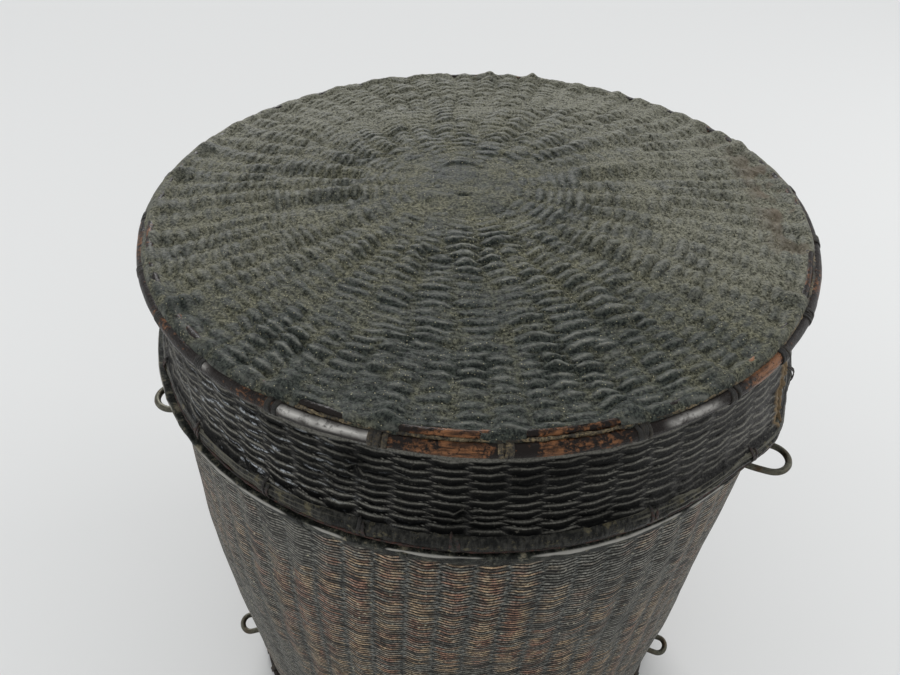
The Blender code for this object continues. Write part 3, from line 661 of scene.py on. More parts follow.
def top_relief(x, y):
    """Height of the lid's weave over its crown, and its marks."""
    r, azimuth = np.hypot(x, y), np.degrees(np.arctan2(y, x))
    pull = 1 - smooth(0.045, 0.14, r)
    dx, dy = x - HUB[0] * pull, y - HUB[1] * pull
    rho, turns = np.hypot(dx, dy), np.arctan2(dy, dx) / TAU + 0.5
    w = rho / TOP_LOBE + 0.42 * patches(x, y, 0.034, 5) + 0.14 * noise(x / 0.009, y / 0.009, 9)
    wobble = patches(x, y, 0.04, 21)
    ragged = 0.01 * noise(turns * 34, rho / 0.02, 41, 34)
    front = near(azimuth, -88, 42)
    mid = smooth(-0.002, 0.002, rho - MID_ZONE_R - ragged)
    outer = smooth(-0.002, 0.002, rho - OUTER_ZONE_R - 0.022 * front - ragged)
    height, crest_highlight_and_wear, border, ridge = 0.0, 0.0, 0.0, 0.0
    shares = ((1 - mid) * (1 - outer), mid * (1 - outer), outer)
    for share, stakes, seed, slack in zip(shares, ZONE_STAKES, (31, 32, 33), (0.08, 0.12, 0.16)):
        part = weave(turns * stakes + slack * wobble, w, seed, 0.42, 1.0, 2.0, 0.55, 0.21, 0.7)
        # A thin pale line along each lobe's ridge: painted highlight for the sheen of light on it, partly
        # wear.
        line = bump_at(part.place, 0.45, 0.17) * part.over * smooth(0.47, 0.3, part.across)
        height = height + share * part.height
        crest_highlight_and_wear = crest_highlight_and_wear + share * line
        border = border + share * smooth(0.34, 0.5, part.across)
        ridge = ridge + share * np.cos(TAU * part.across)
    patchy = patches(x, y, 0.03, 51) + 0.6 * noise(x / 0.011, y / 0.011, 52)
    strength = (0.78 + 0.5 * patchy.clip(-1, 0.8)) * (0.45 + 0.55 * smooth(0.03, 0.066, rho))
    flat_front = bump_at(x, 0.004, 0.036) * bump_at(y, -0.152, 0.012)
    strength = strength * (1 - 0.65 * flat_front)
    aside = (x / np.maximum(r, 0.02)) ** 2
    rows = ROW_RISE * (1 - 0.32 * aside) * (height - 0.42)
    ridges = RIDGE_RISE + RIDGE_RISE * aside * (1 - 0.45 * outer)
    ridges = ridges * (0.85 + 0.35 * patchy.clip(-1, 1))
    relief = strength * rows + ridges * ridge * smooth(0.04, 0.07, rho)
    folds = np.cos(FOLDS * np.radians(azimuth) + 0.5 * noise(turns * 6, rho / 0.03, 61, 6))
    relief = relief + FOLD_RISE * folds * smooth(0.048, 0.069, r) * smooth(0.132, 0.099, r)
    relief = relief + 0.0011 * patches(x, y, 0.045, 71, 2) * smooth(0.168, 0.14, r)
    relief = relief + 0.0005 * patches(x, y, 0.0065, 79, 2) + 0.0003 * patches(x, y, 0.0024, 81, 2)
    mound = 0.0
    for k, knot in enumerate(RIM_KNOTS):
        size = 0.55 + 0.9 * float(chance(np.array([k]), np.array([3]), 7)[0])
        size = size * (1 - 0.5 * near(knot, -95, 12))
        swell = near(azimuth, knot + 0.4 * math.sin(5.0 * k), 1.7) * bump_at(r, 0.1632, 0.006)
        mound = mound + size * swell
    eroded = smooth(0.138, 0.16, r) * smooth(-0.15, 0.45, patches(x, y, 0.01, 91)) * bump_at(azimuth, 2, 20)
    relief = relief + KNOT_RISE * mound
    relief = relief - 0.0007 * eroded * (0.5 + 0.5 * noise(x / 0.002, y / 0.002, 93))
    shown = height * (0.3 + 0.85 * strength) - (0.45 + 0.12 * aside) * border + 0.8 * mound
    crest_highlight_and_wear = crest_highlight_and_wear * strength * (1 - 0.5 * mound) * (1 - 0.4 * aside)
    # More at the right, the left and the back, less at the front: dirt, plus painted sheen at the back and
    # the right and painted shade at the front.
    dust_and_sheen = 0.5 * smooth(0.0, 0.13, x) + 0.26 * smooth(-0.01, -0.11, x)
    dust_and_sheen = dust_and_sheen + 0.75 * smooth(0.02, 0.14, y) - 0.5 * smooth(-0.05, -0.13, y)
    wear_and_highlight = eroded.clip(0, 1)
    return relief, {"relief": shown.clip(0, 1), "crest_highlight_and_wear": crest_highlight_and_wear.clip(0, 1), "wear_and_highlight": wear_and_highlight, "dust_and_sheen": dust_and_sheen}


def skin_edge(share, angle):
    """Radius and level of the lacquer where it runs over the upper rod, or stops short of it.

    share goes from 0 at the weave to 1 at the skin's end."""
    deg = np.degrees(angle)
    steps = [0, 0.2, 0.4, 0.6, 0.8, 1]
    over_r = np.interp(share, steps, [0.1638, 0.1654, 0.1671, 0.169, 0.1706, 0.1717])
    over_z = np.interp(share, steps, [0.3791, 0.38, 0.3811, 0.3811, 0.3799, 0.3774])
    short_r = np.interp(share, steps, [0.1638, 0.1649, 0.1659, 0.1668, 0.1674, 0.1678])
    short_z = np.interp(share, steps, [0.3791, 0.3799, 0.3805, 0.3808, 0.3805, 0.3796])
    whole_r = np.interp(share, steps, [0.1638, 0.1662, 0.169, 0.1718, 0.1742, 0.1754])
    whole_z = np.interp(share, steps, [0.3791, 0.3806, 0.381, 0.3795, 0.3774, 0.3752])
    bare = 1.2 * near(deg, -84, 19) + 0.9 * near(deg, -24, 9) + 0.8 * near(deg, -112, 5)
    bare = bare + 0.5 * layered(angle * 40 / TAU, share * 0, 95, 4, 40)
    for knot in RIM_KNOTS:
        bare = bare - 1.3 * near(deg, knot, 1.8)
    bare = smooth(0.3, 0.75, bare)
    edge_r, edge_z = over_r * (1 - bare) + short_r * bare, over_z * (1 - bare) + short_z * bare
    aside = turn_gap(deg, -85) + 5 * noise(angle * 30 / TAU, share * 0, 97, 30)
    wrapped = np.maximum(smooth(84, 96, np.abs(aside)), 0.42 * smooth(-33, -38, aside))
    return edge_r * (1 - wrapped) + whole_r * wrapped, edge_z * (1 - wrapped) + whole_z * wrapped


def bare_disc(name, body, nodes, slot, radii, level, lobe, seeds, facing, shift=0.0):
    """A woven disc without lacquer. level gives its height at a radius, lobe the spacing of its
    rows, and facing is 1 for an upper side and -1 for a lower one."""

    def surface(r, angle):
        part = weave(angle / TAU * 34, r / lobe, seeds[0])
        x, y = r * np.cos(angle) + shift, r * np.sin(angle)
        place = np.stack([x, y, level(r) + facing * 0.0005 * part.height], -1)
        tone = chance(part.strand, part.column * 0, seeds[1])
        return settle(place) if body == "lid" else place, {"relief": part.height.clip(0, 1), "tone": tone}

    disc = Sheets().rings(radii, [272] * len(radii), surface, facing)
    disc.make(name, INSIDE, body, nodes, slot)


def make_lid_top():
    step, skin_step, skin_rings = 0.0005, 0.0006, 12
    last = TOP_EDGE_R - 0.0012
    radii = list(np.arange(0.0008, last, step))
    counts = [272 if r < 0.04 else 544 if r < 0.082 else 1088 for r in radii] + [1088] * skin_rings
    radii += [last + k * skin_step for k in range(skin_rings)]

    def surface(r, angle):
        share = ((r - last) / ((skin_rings - 1) * skin_step)).clip(0, 1)
        edge_r, edge_z = skin_edge(share, angle)
        skin = r >= last
        flat_r = np.where(skin, edge_r, r)
        x, y = flat_r * np.cos(angle), flat_r * np.sin(angle)
        relief, marks = top_relief(x, y)
        relief = relief * (1 - 0.75 * smooth(0.15, 0.8, share))
        level = np.where(skin, edge_z, crown_z(r))
        return settle(np.stack([x, y, level + relief], -1)), marks

    top = Sheets().rings(radii, counts, surface)
    top.make("lid_top", TOP, "lid", ["lid_top_panel"], "top_weave")
    radii = [0.002 + 0.0025 * k for k in range(66)]
    bare_disc("lid_top_inside", "lid", (), "top_weave", radii, under_z, TOP_LOBE, (12, 3), -1)


def make_hub():
    """Smooth lump of lacquer over the start of the weave."""
    radii = [0.0006 + 0.0006 * k for k in range(60)]

    def surface(r, angle):
        x, y = HUB[0] + r * np.cos(angle), HUB[1] + r * np.sin(angle)
        share = r / HUB_R
        ragged = share + 0.07 * noise(angle * 9 / TAU, r * 0, 4, 9)
        lift = 0.0013 * (1 - share ** 2).clip(0, 1) ** 0.7 - 0.0015 * smooth(0.86, 1.08, ragged)
        lift = lift + 0.0007 * patches(x, y, 0.012, 14)
        crescent = bump_at(np.hypot(x + 0.0095, y - 0.012), 0.0125, 0.0022) * smooth(0.018, 0.024, y)
        hollow = bump_at(x, -0.0078, 0.004) * bump_at(y, -0.0103, 0.0014)
        lump = bump_at(np.hypot(x + 0.027, y + 0.012), 0, 0.005)
        lift = lift + 0.0018 * crescent - 0.0018 * hollow + 0.0013 * lump
        lift = lift + 0.00022 * patches(x, y, 0.003, 24)
        weave_lift, marks = top_relief(x, y)
        lift = lift + weave_lift * smooth(0.7, 1.0, share) * 0.6
        field = 0.35 + 0.5 * patches(x, y, 0.01, 34) + 0.8 * (crescent + hollow + lump)
        outer = smooth(0.75, 1.0, share)
        marks["relief"] = (field * (1 - outer) + marks["relief"] * outer).clip(0, 1)
        marks["crest_highlight_and_wear"] = marks["crest_highlight_and_wear"] * outer
        marks["wear_and_highlight"] = 0 * r
        return np.stack([x, y, crown_z(np.hypot(x, y)) + lift], -1), marks

    hub = Sheets().rings(radii, [136] * len(radii), surface)
    hub.make("centre_patch", TOP, "lid", ["lid_centre_patch"], "centre_patch")


def slit(angle_deg, z):
    """The torn slit in the skirt near its right edge: how far inside it, and its torn edge."""
    level = (z - SKIRT_LOW[1]) / (SKIRT_TOP[1] - SKIRT_LOW[1])
    line = SLIT + 0.8 * noise(level * 9, level * 0, 3) + 6.0 * (level - 0.35)
    wide = 1.7 * smooth(0.08, 0.18, level) * smooth(0.66, 0.5, level)
    wide = wide * (1 + 0.7 * noise(level * 16, level * 0, 5))
    gap = np.abs(turn_gap(angle_deg, line))
    inside = smooth(1.15, 0.9, gap / np.maximum(wide, 0.05))
    edge = bump_at(gap, 1.15 * wide + 0.25, 0.45) * smooth(0.02, 0.15, level) * smooth(0.8, 0.62, level)
    return inside * (wide > 0.12), edge * (1 - inside)


def make_skirt():
    angle, turns, deg = around(STAKES * 16)
    outline = [
        (0.1716, 0.3739), (0.1702, 0.3727), (0.1693, 0.371), (0.1688, 0.368), (0.1702, 0.3262),
        (0.171, 0.3242), (0.1722, 0.3228), (0.1736, 0.3216),
    ]
    at, r, z, out_r, out_z = walk(outline, 0.00042)
    c = turns * STAKES + 0.1 * ringed(turns, 24, z / 0.03, 3, 2) + 0.35
    w = at / SKIRT_LOBE + 0.26 * ringed(turns, 40, z / 0.012, 8)
    w = w + 0.12 * noise(turns * STAKES, z / 0.02, 13, STAKES)
    w = w + 0.07 * np.cos(TAU * c)
    cloth = weave(c, w, 19, 0.4, 0.45, 2.6, box=0.45)
    place = cloth.place
    ends = smooth(0.004, 0.007, at) * smooth(at[-1] - 0.0004, at[-1] - 0.0022, at)
    uneven = 0.85 + 0.3 * ringed(turns, 30, z / 0.02, 28, 2)
    lift = SKIRT_RISE * (soften(cloth.height) * uneven - 0.42) * ends
    lift = lift + 0.0006 * ringed(turns, 20, z / 0.03, 44, 2)
    lift = lift + 0.00014 * ringed(turns, 400, z / 0.003, 48, 2)
    # The slit's tan edge, and its inside, which the paint darkens as painted shade.
    inside, edge = slit(deg, z)
    lift = lift - 0.0042 * inside + 0.0009 * edge * (1 + noise(turns * 500, z / 0.002, 7, 500))
    for azimuth, level, size in SKIRT_DENTS:
        spot = np.hypot(np.radians(turn_gap(deg, azimuth)) * r, z - level)
        lift = lift - 0.0016 * bump_at(spot, 0, size) + 0.001 * bump_at(spot, size * 1.7, size * 0.6)
    front = near(deg, -84, 26)
    # A pale line near each strand's upper edge: painted highlight where light catches it, partly wear;
    # weaker at the front.
    crest_highlight_and_wear = bump_at(place, 0.13, 0.085) + 0.09 * smooth(0.7, 0.15, place) * smooth(0.02, 0.12, place)
    crest_highlight_and_wear = crest_highlight_and_wear * (0.6 + 0.4 * smooth(0.5, 0.4, cloth.across))
    uneven = (0.85 + 0.45 * ringed(turns, 50, z / 0.01, 58)).clip(0.3, 1.15)
    wear_and_highlight = crest_highlight_and_wear * uneven * ends * (1.1 - 0.48 * front)
    band = smooth(0.0066, 0.0078, at) * smooth(0.0118, 0.0104, at + 0.001 * noise(turns * 70, z * 0, 59, 70))
    wear_and_highlight = np.maximum(wear_and_highlight, 0.7 * band).clip(0, 1)
    # Grey patches: dirt at the stakes' borders, plus painted sheen at the right, left and back; less at the
    # front, as painted shade.
    dusty_and_sheen = 0.42 * smooth(0.36, 0.5, cloth.across)
    for azimuth, width, amount in ((-32, 26, 0.9), (-50, 16, 0.2), (-156, 18, 0.45), (180, 30, 0.4)):
        dusty_and_sheen = dusty_and_sheen + amount * near(deg, azimuth, width)
    dusty_and_sheen = dusty_and_sheen * (1 - 0.6 * front) * (0.75 + 0.5 * ringed(turns, 60, z / 0.01, 68))
    # Small bluish-white painted glints at the left, standing for reflections on the lacquer.
    gloss = near(deg, -128, 15) * smooth(0.62, 1.0, ringed(turns, 190, z / 0.0013, 63, 2))
    outer = settle(to_space(r + lift * out_r, z + lift * out_z, angle))
    back = [(end[0] - SKIRT_THICK, end[1]) for end in (SKIRT_LOW, SKIRT_TOP)]
    inner_at, ri, zi, _, _ = walk(back, 0.0018)
    lining = weave(turns * STAKES + 0.5, inner_at / SKIRT_LOBE, 29).height
    inner = settle(to_space(ri - 0.0006 * lining, zi, angle))
    sheets = Sheets().shell(outer, inner, {
        "wear_and_highlight": (wear_and_highlight, 0.25 * lining.clip(0, 1)), "dusty_and_sheen": (dusty_and_sheen.clip(0, 1), 0.5), "gloss": (gloss, 0.0),
        "tear_and_hole_shade": (np.maximum(edge, 2 * inside), 0.0),
    })
    sheets.make("skirt", skirt_paint(), "lid", ["lid_skirt"], "skirt_weave")


def make_body():
    """Its stakes and dents are in the mesh, its rows in the paint."""
    angle, turns, deg = around(STAKES * 8)
    levels = np.linspace(WALL_TOP_Z, WALL_LOW_Z, 560)
    at, r, z, out_r, out_z = walk([(wall_r(h), h) for h in levels], 0.00046)
    slack = 0.08 * ringed(turns, 24, z / 0.06, 3, 2)
    bulge = -np.cos(TAU * (turns * STAKES + slack))
    w = at / BODY_LOBE + 0.3 * ringed(turns, 30, z / 0.02, 8) - 0.05 * bulge
    lift = BODY_BULGE * bulge * (0.8 + 0.35 * ringed(turns, 40, z / 0.03, 28, 2))
    lift = (lift + 0.0008 * ringed(turns, 14, z / 0.05, 44, 2)) * smooth(WALL_LOW_Z, 0.012, z)
    wear = (0.46 + 0.5 * ringed(turns, 24, z / 0.06, 64)) * (0.72 + 0.38 * near(deg, -98, 50))
    wear = wear + 0.55 * near(deg, -104, 26) * smooth(0.285, 0.258, z) * smooth(0.19, 0.23, z)
    wear = wear + 0.45 * near(deg, -119, 10) * bump_at(z, 0.232, 0.03)
    wear = wear + 0.28 * near(deg, -82, 26) * bump_at(z, 0.275, 0.05)
    wear = (wear * smooth(0.302, 0.292, z)).clip(0, 1)
    pale = 0.55 * near(deg, -152, 28) + 0.6 * near(deg, -33, 24)
    outer = to_space(r + lift * out_r, z + lift * out_z, angle, body_shift(z))
    inner_at, ri, zi, _, _ = walk([(wall_r(h) - WALL_THICK, h) for h in levels[::-1]], 0.0022)
    rows = inner_at / LINING_LOBE
    lining = weave(turns * STAKES + 0.5, rows, 29).height
    inner = to_space(ri - 0.0006 * lining, zi, angle, body_shift(zi))
    sheets = Sheets().shell(outer, inner, {
        "slack": (slack, 0.5), "row": (w, rows), "lean": (body_shift(z), body_shift(zi)),
        "wear_and_highlight": (wear, 0.0), "outside": (1.0, 0.0), "pale": (pale, 0.0),
    })
    sheets.make("body", body_paint(), "basket", ["body_wall"], "body_weave")


def no_wear(deg, side):
    return 0.0, 0.0


def make_ring(name, rod, paint, body, node, slot, wear_and_highlight=no_wear, shape=(1.0, 1.0),
              columns=720, sides=16, seed=1, shift=0.0, rough=0.05):
    """A rod bent into a ring. rod holds the ring's radius, its level and half its thickness.
    shape scales its section, and the wear function gives its bare patches and its glossy patches, which
    carry painted glints."""
    angle, turns, deg = around(columns)
    side = (math.pi / 2 - np.arange(sides) * TAU / sides)[:, None]
    size = 1 + rough * ringed(turns, 90, side / 2, seed)
    size = rod[2] * (size + 0.06 * noise(turns * 24, side * 0, seed + 5, 24))
    drift_r, drift_z = (0.0003 * ringed(turns, 18, turns * 0, seed + k, 2) for k in (9, 11))
    r = rod[0] + drift_r + size * shape[0] * np.cos(side)
    z = rod[1] + drift_z + size * shape[1] * np.sin(side)
    points = to_space(r, z, angle, shift)
    bare, gloss = wear_and_highlight(turn_gap(deg, 0), side)
    points = settle(points) if body == "lid" else points
    sheets = Sheets().grid(points, {"wear_and_highlight": bare, "gloss": gloss}, wrap_rows=True)
    sheets.make(name, paint, body, [node], slot)


def make_inner_ring(name, rod, body, node, slot, seed, **more):
    """A ring of bare cane that doesn't show from outside."""
    make_ring(name, rod, BARE_ROD, body, node, slot, seed=seed, columns=360, **more)


def strap(sheets, path, width, thick, azimuth, seed, shift=0.0, settled=False, wear_and_highlight=0.0):
    """One wrap: a rounded strap along a path of (radius, height) at an azimuth in degrees."""
    at, r, z, out_r, out_z = walk(path, 0.0006)
    side = (np.arange(12) * TAU / 12)[None, :]
    turn = math.radians(azimuth)
    taper = smooth(0, 0.0018, at) * smooth(0, 0.0018, at[-1] - at)
    wave = noise(at / 0.004, side * 0, seed)
    wide = width / 2 * (0.25 + 0.75 * taper) * (1 + 0.15 * wave + 0.1 * noise(at / 0.0015, side, seed + 1))
    deep = thick / 2 * (0.3 + 0.7 * taper) * (1 + 0.25 * noise(at / 0.0012, side * 1.3, seed + 2))
    cross = wide * np.sign(np.cos(side)) * np.abs(np.cos(side)) ** 0.8
    rise = deep * (1 + np.sin(side))
    rr, zz = r + rise * out_r, z + rise * out_z
    slide = cross + 0.0006 * wave
    x = rr * math.cos(turn) - slide * math.sin(turn) + shift
    y = rr * math.sin(turn) + slide * math.cos(turn)
    points = np.stack([x, y, zz], -1)
    sheets.grid(settle(points) if settled else points, {"wear_and_highlight": wear_and_highlight, "relief": 1.0}, caps=True)


def thread(sheets, angle, r, z, thick, uneven, cells, seed):
    """A strand laid round the lid. Its thickness varies in cells round the turn."""
    side = (math.pi / 2 - np.arange(8) * TAU / 8)[:, None]
    size = thick * (1 + uneven * ringed(angle / TAU, cells, side, seed, 2))
    points = to_space(r + size * np.cos(side), z + size * np.sin(side), angle)
    sheets.grid(settle(points), {"wear_and_highlight": 1.0, "relief": 1.0}, wrap_rows=True)


def lash(name, paint, node, slot, knots, path, width, thick, seed, shift=0.0, wear_and_highlight=0.0):
    """A row of like wraps on the basket, one at each azimuth."""
    wraps = Sheets(len(knots))
    for k, knot in enumerate(knots):
        strap(wraps, path, width, thick, knot, seed + k, shift, wear_and_highlight=wear_and_highlight)
    wraps.make(name, paint, "basket", [node], slot)


def around_point(rod, radius, start, end, steps=14):
    """Points round a rod's section, angles in degrees from outward, turning up."""
    return [
        (rod[0] + radius * math.cos(a), rod[1] + radius * math.sin(a))
        for a in np.radians(np.linspace(start, end, steps))
    ]


def make_rim():
    spots = (
        (-94, 4, 0.8), (-82, 3, 0.8), (-74, 5, 0.7), (-46, 5, 0.9), (-111, 6, -0.6), (-63, 6, -0.5),
        (-137, 3, 0.45), (-22, 5, 0.6),
    )

    def wear_and_highlight(deg, side):
        patch = 0.35 * layered(deg / 12.0, side * 0, 6, 4, 30)
        for azimuth, width, amount in spots:
            patch = patch + amount * near(deg, azimuth, width)
        # Painted glints: white stretches on the rod's upper side, standing for light caught on it.
        glint_highlight = smooth(-119, -117, deg) * smooth(-103, -105, deg)
        glint_highlight = glint_highlight + 0.8 * smooth(-67, -64, deg) * smooth(-56, -60, deg)
        glint_highlight = glint_highlight + 0.5 * smooth(-134, -133, deg) * smooth(-130, -132, deg)
        glint_highlight = glint_highlight * (0.75 + 0.5 * layered(deg / 1.5, side * 2, 12, 3, 240))
        return (0.16 + patch).clip(0, 1), (1.2 * glint_highlight * bump_at(side, 0.75, 0.42)).clip(0, 1)

    def upper_worn(deg, side):
        return wear_and_highlight(deg, side)[0], 0.0

    cane = rod_paint("rim_cane", (0.01, 0.0065, 0.005), (0.24, 0.105, 0.045))
    rod = (0.1719, RIM_Z - 0.0003, 0.0032)
    upper, corner = (0.1681, RIM_Z + 0.0036, 0.0021), (0.1624, 0.3736, 0.0021)
    make_ring("rim_rod", rod, cane, "lid", "lid_rim_rod", "rim_rods", wear_and_highlight, seed=3)
    make_ring("upper_rod", upper, cane, "lid", "lid_upper_rod", "rim_rods", upper_worn, seed=4)
    make_inner_ring("corner_rod", corner, "lid", "lid_corner_rod", "lid_inner_rods", 5, sides=10)

    angle, turns, _ = around(1440)
    sheets = Sheets(len(RIM_KNOTS) * 6 + 1)
    strand_r = 0.1706 + 0.0002 * noise(turns * 200, 0 * turns, 19, 200)
    thread(sheets, angle, strand_r, RIM_Z + 0.0032, 0.0008, 0.5, 480, 9)
    over = [(0.17, 0.3792)]
    for k, knot in enumerate(RIM_KNOTS):
        pale = float(near(knot, -90, 12))
        path = around_point(rod, 0.0032, -100, 100) + over + [(0.1688, 0.3802)]
        strap(sheets, path, 0.0058, 0.0013, knot, 90 + k, settled=True, wear_and_highlight=0.5 * pale)
        for part in range(5):
            seed = 200 + 5 * k + part
            luck = chance(np.array([seed, seed, seed]), np.array([1, 2, 3]), 11)
            aside = (part - 2) * 0.42 + 0.5 * (luck[0] - 0.5)
            path = around_point(rod, 0.0038, -95 + 40 * luck[1], 100) + over
            path += [(0.1688, 0.3804), (0.1672 - 0.0015 * luck[2], 0.3805)]
            strap(sheets, path, 0.0012 + 0.0012 * luck[2], 0.0012, knot + aside, seed, settled=True,
                  wear_and_highlight=0.1 + 0.9 * pale)
    fibre = fibre_paint("rim_fibre", (0.008, 0.007, 0.006), (0.26, 0.2, 0.11))
    sheets.make("rim_lashing", fibre, "lid", ["lid_rim_lashing"], "rim_binding")


def make_hem():
    angle, turns, deg = around(STAKES * 16)
    outline = [
        (0.1722, 0.3226), (0.1735, 0.3218), (0.1745, 0.3208), (0.1752, 0.3194), (0.1756, 0.3178),
        (0.1755, 0.316), (0.1748, 0.3147), (0.1736, 0.3142), (0.1705, 0.3143),
    ]
    at, r, z, out_r, out_z = walk(outline, 0.00045)
    share = at / at[-1]
    split = smooth(11, 7, np.abs(turn_gap(deg, -43)) - 12)
    lift = 0.0003 * ringed(turns, 200, z / 0.004, 16) + 0.0004 * ringed(turns, 30, z * 0, 17, 2)
    lift = lift - 0.0011 * bump_at(share, 0.4, 0.055) * split
    lumps = 1 + noise(turns * 500, z / 0.002, 18, 500)
    for knot in HEM_KNOTS:
        lift = lift + 0.0006 * near(deg, knot, 1.5) * lumps
    lift = lift - 0.0012 * near(deg, -20, 16)
    lift = lift - 0.0012 * near(deg, -148, 26) * bump_at(share, 0.5, 0.32)
    lift = lift * smooth(0.0, 0.15, share) * smooth(1.0, 0.9, share)
    streaks = 0.6 + 0.6 * ringed(turns, 90, z * 0, 19)
    wear_and_highlight = 0.3 * bump_at(share, 0.1, 0.1) * streaks + 0.3 * bump_at(share, 0.3, 0.06) * split
    left = near(deg, -140, 22) * smooth(0.1, 0.5, ringed(turns, 60, z / 0.006, 23))
    strands = np.abs(((share / 0.17 + 2.2 * turns * STAKES * 0.1) % 1) - 0.5)
    beside = smooth(16, 30, np.abs(turn_gap(deg, -90)))
    strands = smooth(0.14, 0.05, strands) * smooth(0.75, 0.55, share) * beside
    # Painted highlight: pale streaks on the band at the right front.
    glint_streaks = near(deg, -48, 18) * smooth(0.35, 0.8, ringed(turns, 120, z / 0.0009, 27))
    wear_and_highlight = (wear_and_highlight + 0.55 * left + 0.9 * strands + 1.1 * glint_streaks).clip(0, 1)
    points = to_space(r + lift * out_r, z + lift * out_z, angle)
    inner = to_space(0.169, np.array([[0.315], [0.3185], [0.3215]]), angle)
    band = band_paint("hem_lacquer", (0.0045, 0.0048, 0.0042), (0.042, 0.041, 0.036), (0.12, 0.105, 0.06),
                      (0.115, 0.11, 0.085), 0.26)
    sheets = Sheets().shell(settle(points), settle(inner), {"wear_and_highlight": (wear_and_highlight, 0.0), "relief": (1.0, 0.0)})
    sheets.make("hem_band", band, "lid", ["lid_hem_rod"], "hem_rod")
    make_inner_ring("hem_strip", (0.166, 0.3176, 0.003), "lid", "lid_hem_strip", "lid_inner_rods", 15,
                    shape=STRIP_SHAPE, sides=12)
    sheets = Sheets(len(HEM_KNOTS) * 2 + 1)
    thread(sheets, angle, 0.1742, 0.3137, 0.0007, 0.3, 300, 29)
    path = [
        (0.1716, 0.3236), (0.1736, 0.3224), (0.1748, 0.3212), (0.1756, 0.3196), (0.1757, 0.317),
        (0.175, 0.3148), (0.1736, 0.314),
    ]
    for k, knot in enumerate(HEM_KNOTS):
        for part in range(2):
            strap(sheets, path[part:], 0.0016, 0.0005, knot + 0.7 * part, 300 + 2 * k + part,
                  settled=True, wear_and_highlight=0.6)
    fibre = fibre_paint("hem_fibre", (0.007, 0.006, 0.005), (0.08, 0.028, 0.017))
    sheets.make("hem_lashing", fibre, "lid", ["lid_hem_lashing"], "hem_binding")


def make_ledge():
    """Smooth band on which the lid rests, running out onto the wall in a scalloped edge."""
    angle, turns, deg = around(STAKES * 16)
    outline = [
        (0.1686, 0.3117), (0.1735, 0.3121), (0.1753, 0.3122), (0.1762, 0.3117), (0.1763, 0.3108),
        (0.1757, 0.3088), (0.1746, 0.3062), (0.1733, 0.3038), (0.1719, 0.3014), (0.1704, 0.299),
        (0.1686, 0.2978),
    ]
    at, r, z, out_r, out_z = walk(outline, 0.0005)
    share = at / at[-1]
    scallop = 0.0007 * np.cos(TAU * turns * STAKES) + 0.0011 * ringed(turns, 30, turns * 0, 6)
    for knot in HEM_KNOTS:
        scallop = scallop - 0.0012 * near(deg, knot + 3, 2.2)
    lift = 0.0004 * ringed(turns, 90, z / 0.004, 16) - 0.0009 * smooth(0.86, 1.0, share)
    lip = 0.00045 * ringed(turns, 36, turns * 0, 26) * bump_at(share, 0.36, 0.12)
    z = z + scallop * smooth(0.45, 1.0, share) + lip
    points = to_space(r + lift * out_r, z + lift * out_z, angle, LEDGE_SHIFT)
    # A pale line along the band's upper edge: painted highlight where light catches it.
    wear_and_highlight = bump_at(share, 0.33, 0.026) * (0.75 + 1.3 * ringed(turns, 90, turns * 0, 36))
    inner = to_space(0.1686, np.array([[0.299], [0.304], [0.31]]), angle, LEDGE_SHIFT)
    paint = band_paint("ledge_lacquer", (0.012, 0.014, 0.011), (0.066, 0.068, 0.056), (0.27, 0.24, 0.17),
                       (0.34, 0.33, 0.3), 0.36, 0.53)
    # Where relief falls to 0 at the band's lower end, the paint darkens it as painted shade against the
    # wall.
    marks = {"wear_and_highlight": (wear_and_highlight.clip(0, 1), 0.0), "relief": (1 - smooth(0.95, 1.0, share), 0.0)}
    Sheets().shell(points, inner, marks).make("ledge_band", paint, "basket", ["body_ledge_rod"], "ledge_rod")
    path = [
        (0.1744, 0.3114), (0.1757, 0.311), (0.1757, 0.3096), (0.175, 0.3072), (0.1738, 0.3042),
        (0.172, 0.301), (0.1704, 0.2985),
    ]
    knots = [knot + 7 for knot in HEM_KNOTS]
    lash("ledge_lashing", paint, "body_ledge_lashing", "ledge_binding", knots, path, 0.0036, 0.0006,
         400, LEDGE_SHIFT)


def make_foot():
    shift = body_shift(0.0)
    rod, inner_rod = (0.14835, 0.0032, 0.0031), (0.1374, 0.0041, 0.0025)

    def patchy(deg, side):
        return (0.35 + 0.4 * layered(deg / 9.0, side * 0, 8, 3, 40)).clip(0, 1), 0.0

    cane = rod_paint("foot_cane", (0.02, 0.015, 0.011), (0.11, 0.055, 0.025))
    make_ring("foot_rod", rod, cane, "basket", "foot_rod", "foot_rods", patchy, seed=23, shift=shift,
              rough=0.02)
    make_inner_ring("foot_inner_rod", inner_rod, "basket", "foot_inner_rod", "foot_rods", 25, sides=10,
                    shift=shift)
    fibre = fibre_paint("foot_fibre", (0.015, 0.012, 0.009), (0.07, 0.045, 0.026))
    path = around_point(rod, 0.0032, 120, -25, 10)
    lash("foot_lashing", fibre, "foot_lashing", "foot_binding", FOOT_KNOTS, path, 0.0042, 0.001,
         500, shift, 1.0)

    radii = [0.002 + 0.0022 * k for k in range(63)] + [BASE_R]
    for name, lift, facing in (("base_top", 0.004, 1), ("base_bottom", 0.0, -1)):
        def level(r):
            return BASE_Z + lift + BASE_RISE * (1 - (r / BASE_R) ** 2)

        bare_disc(name, "basket", ["body_base"], "base_weave", radii, level, 0.006, (42, 6), facing, shift)


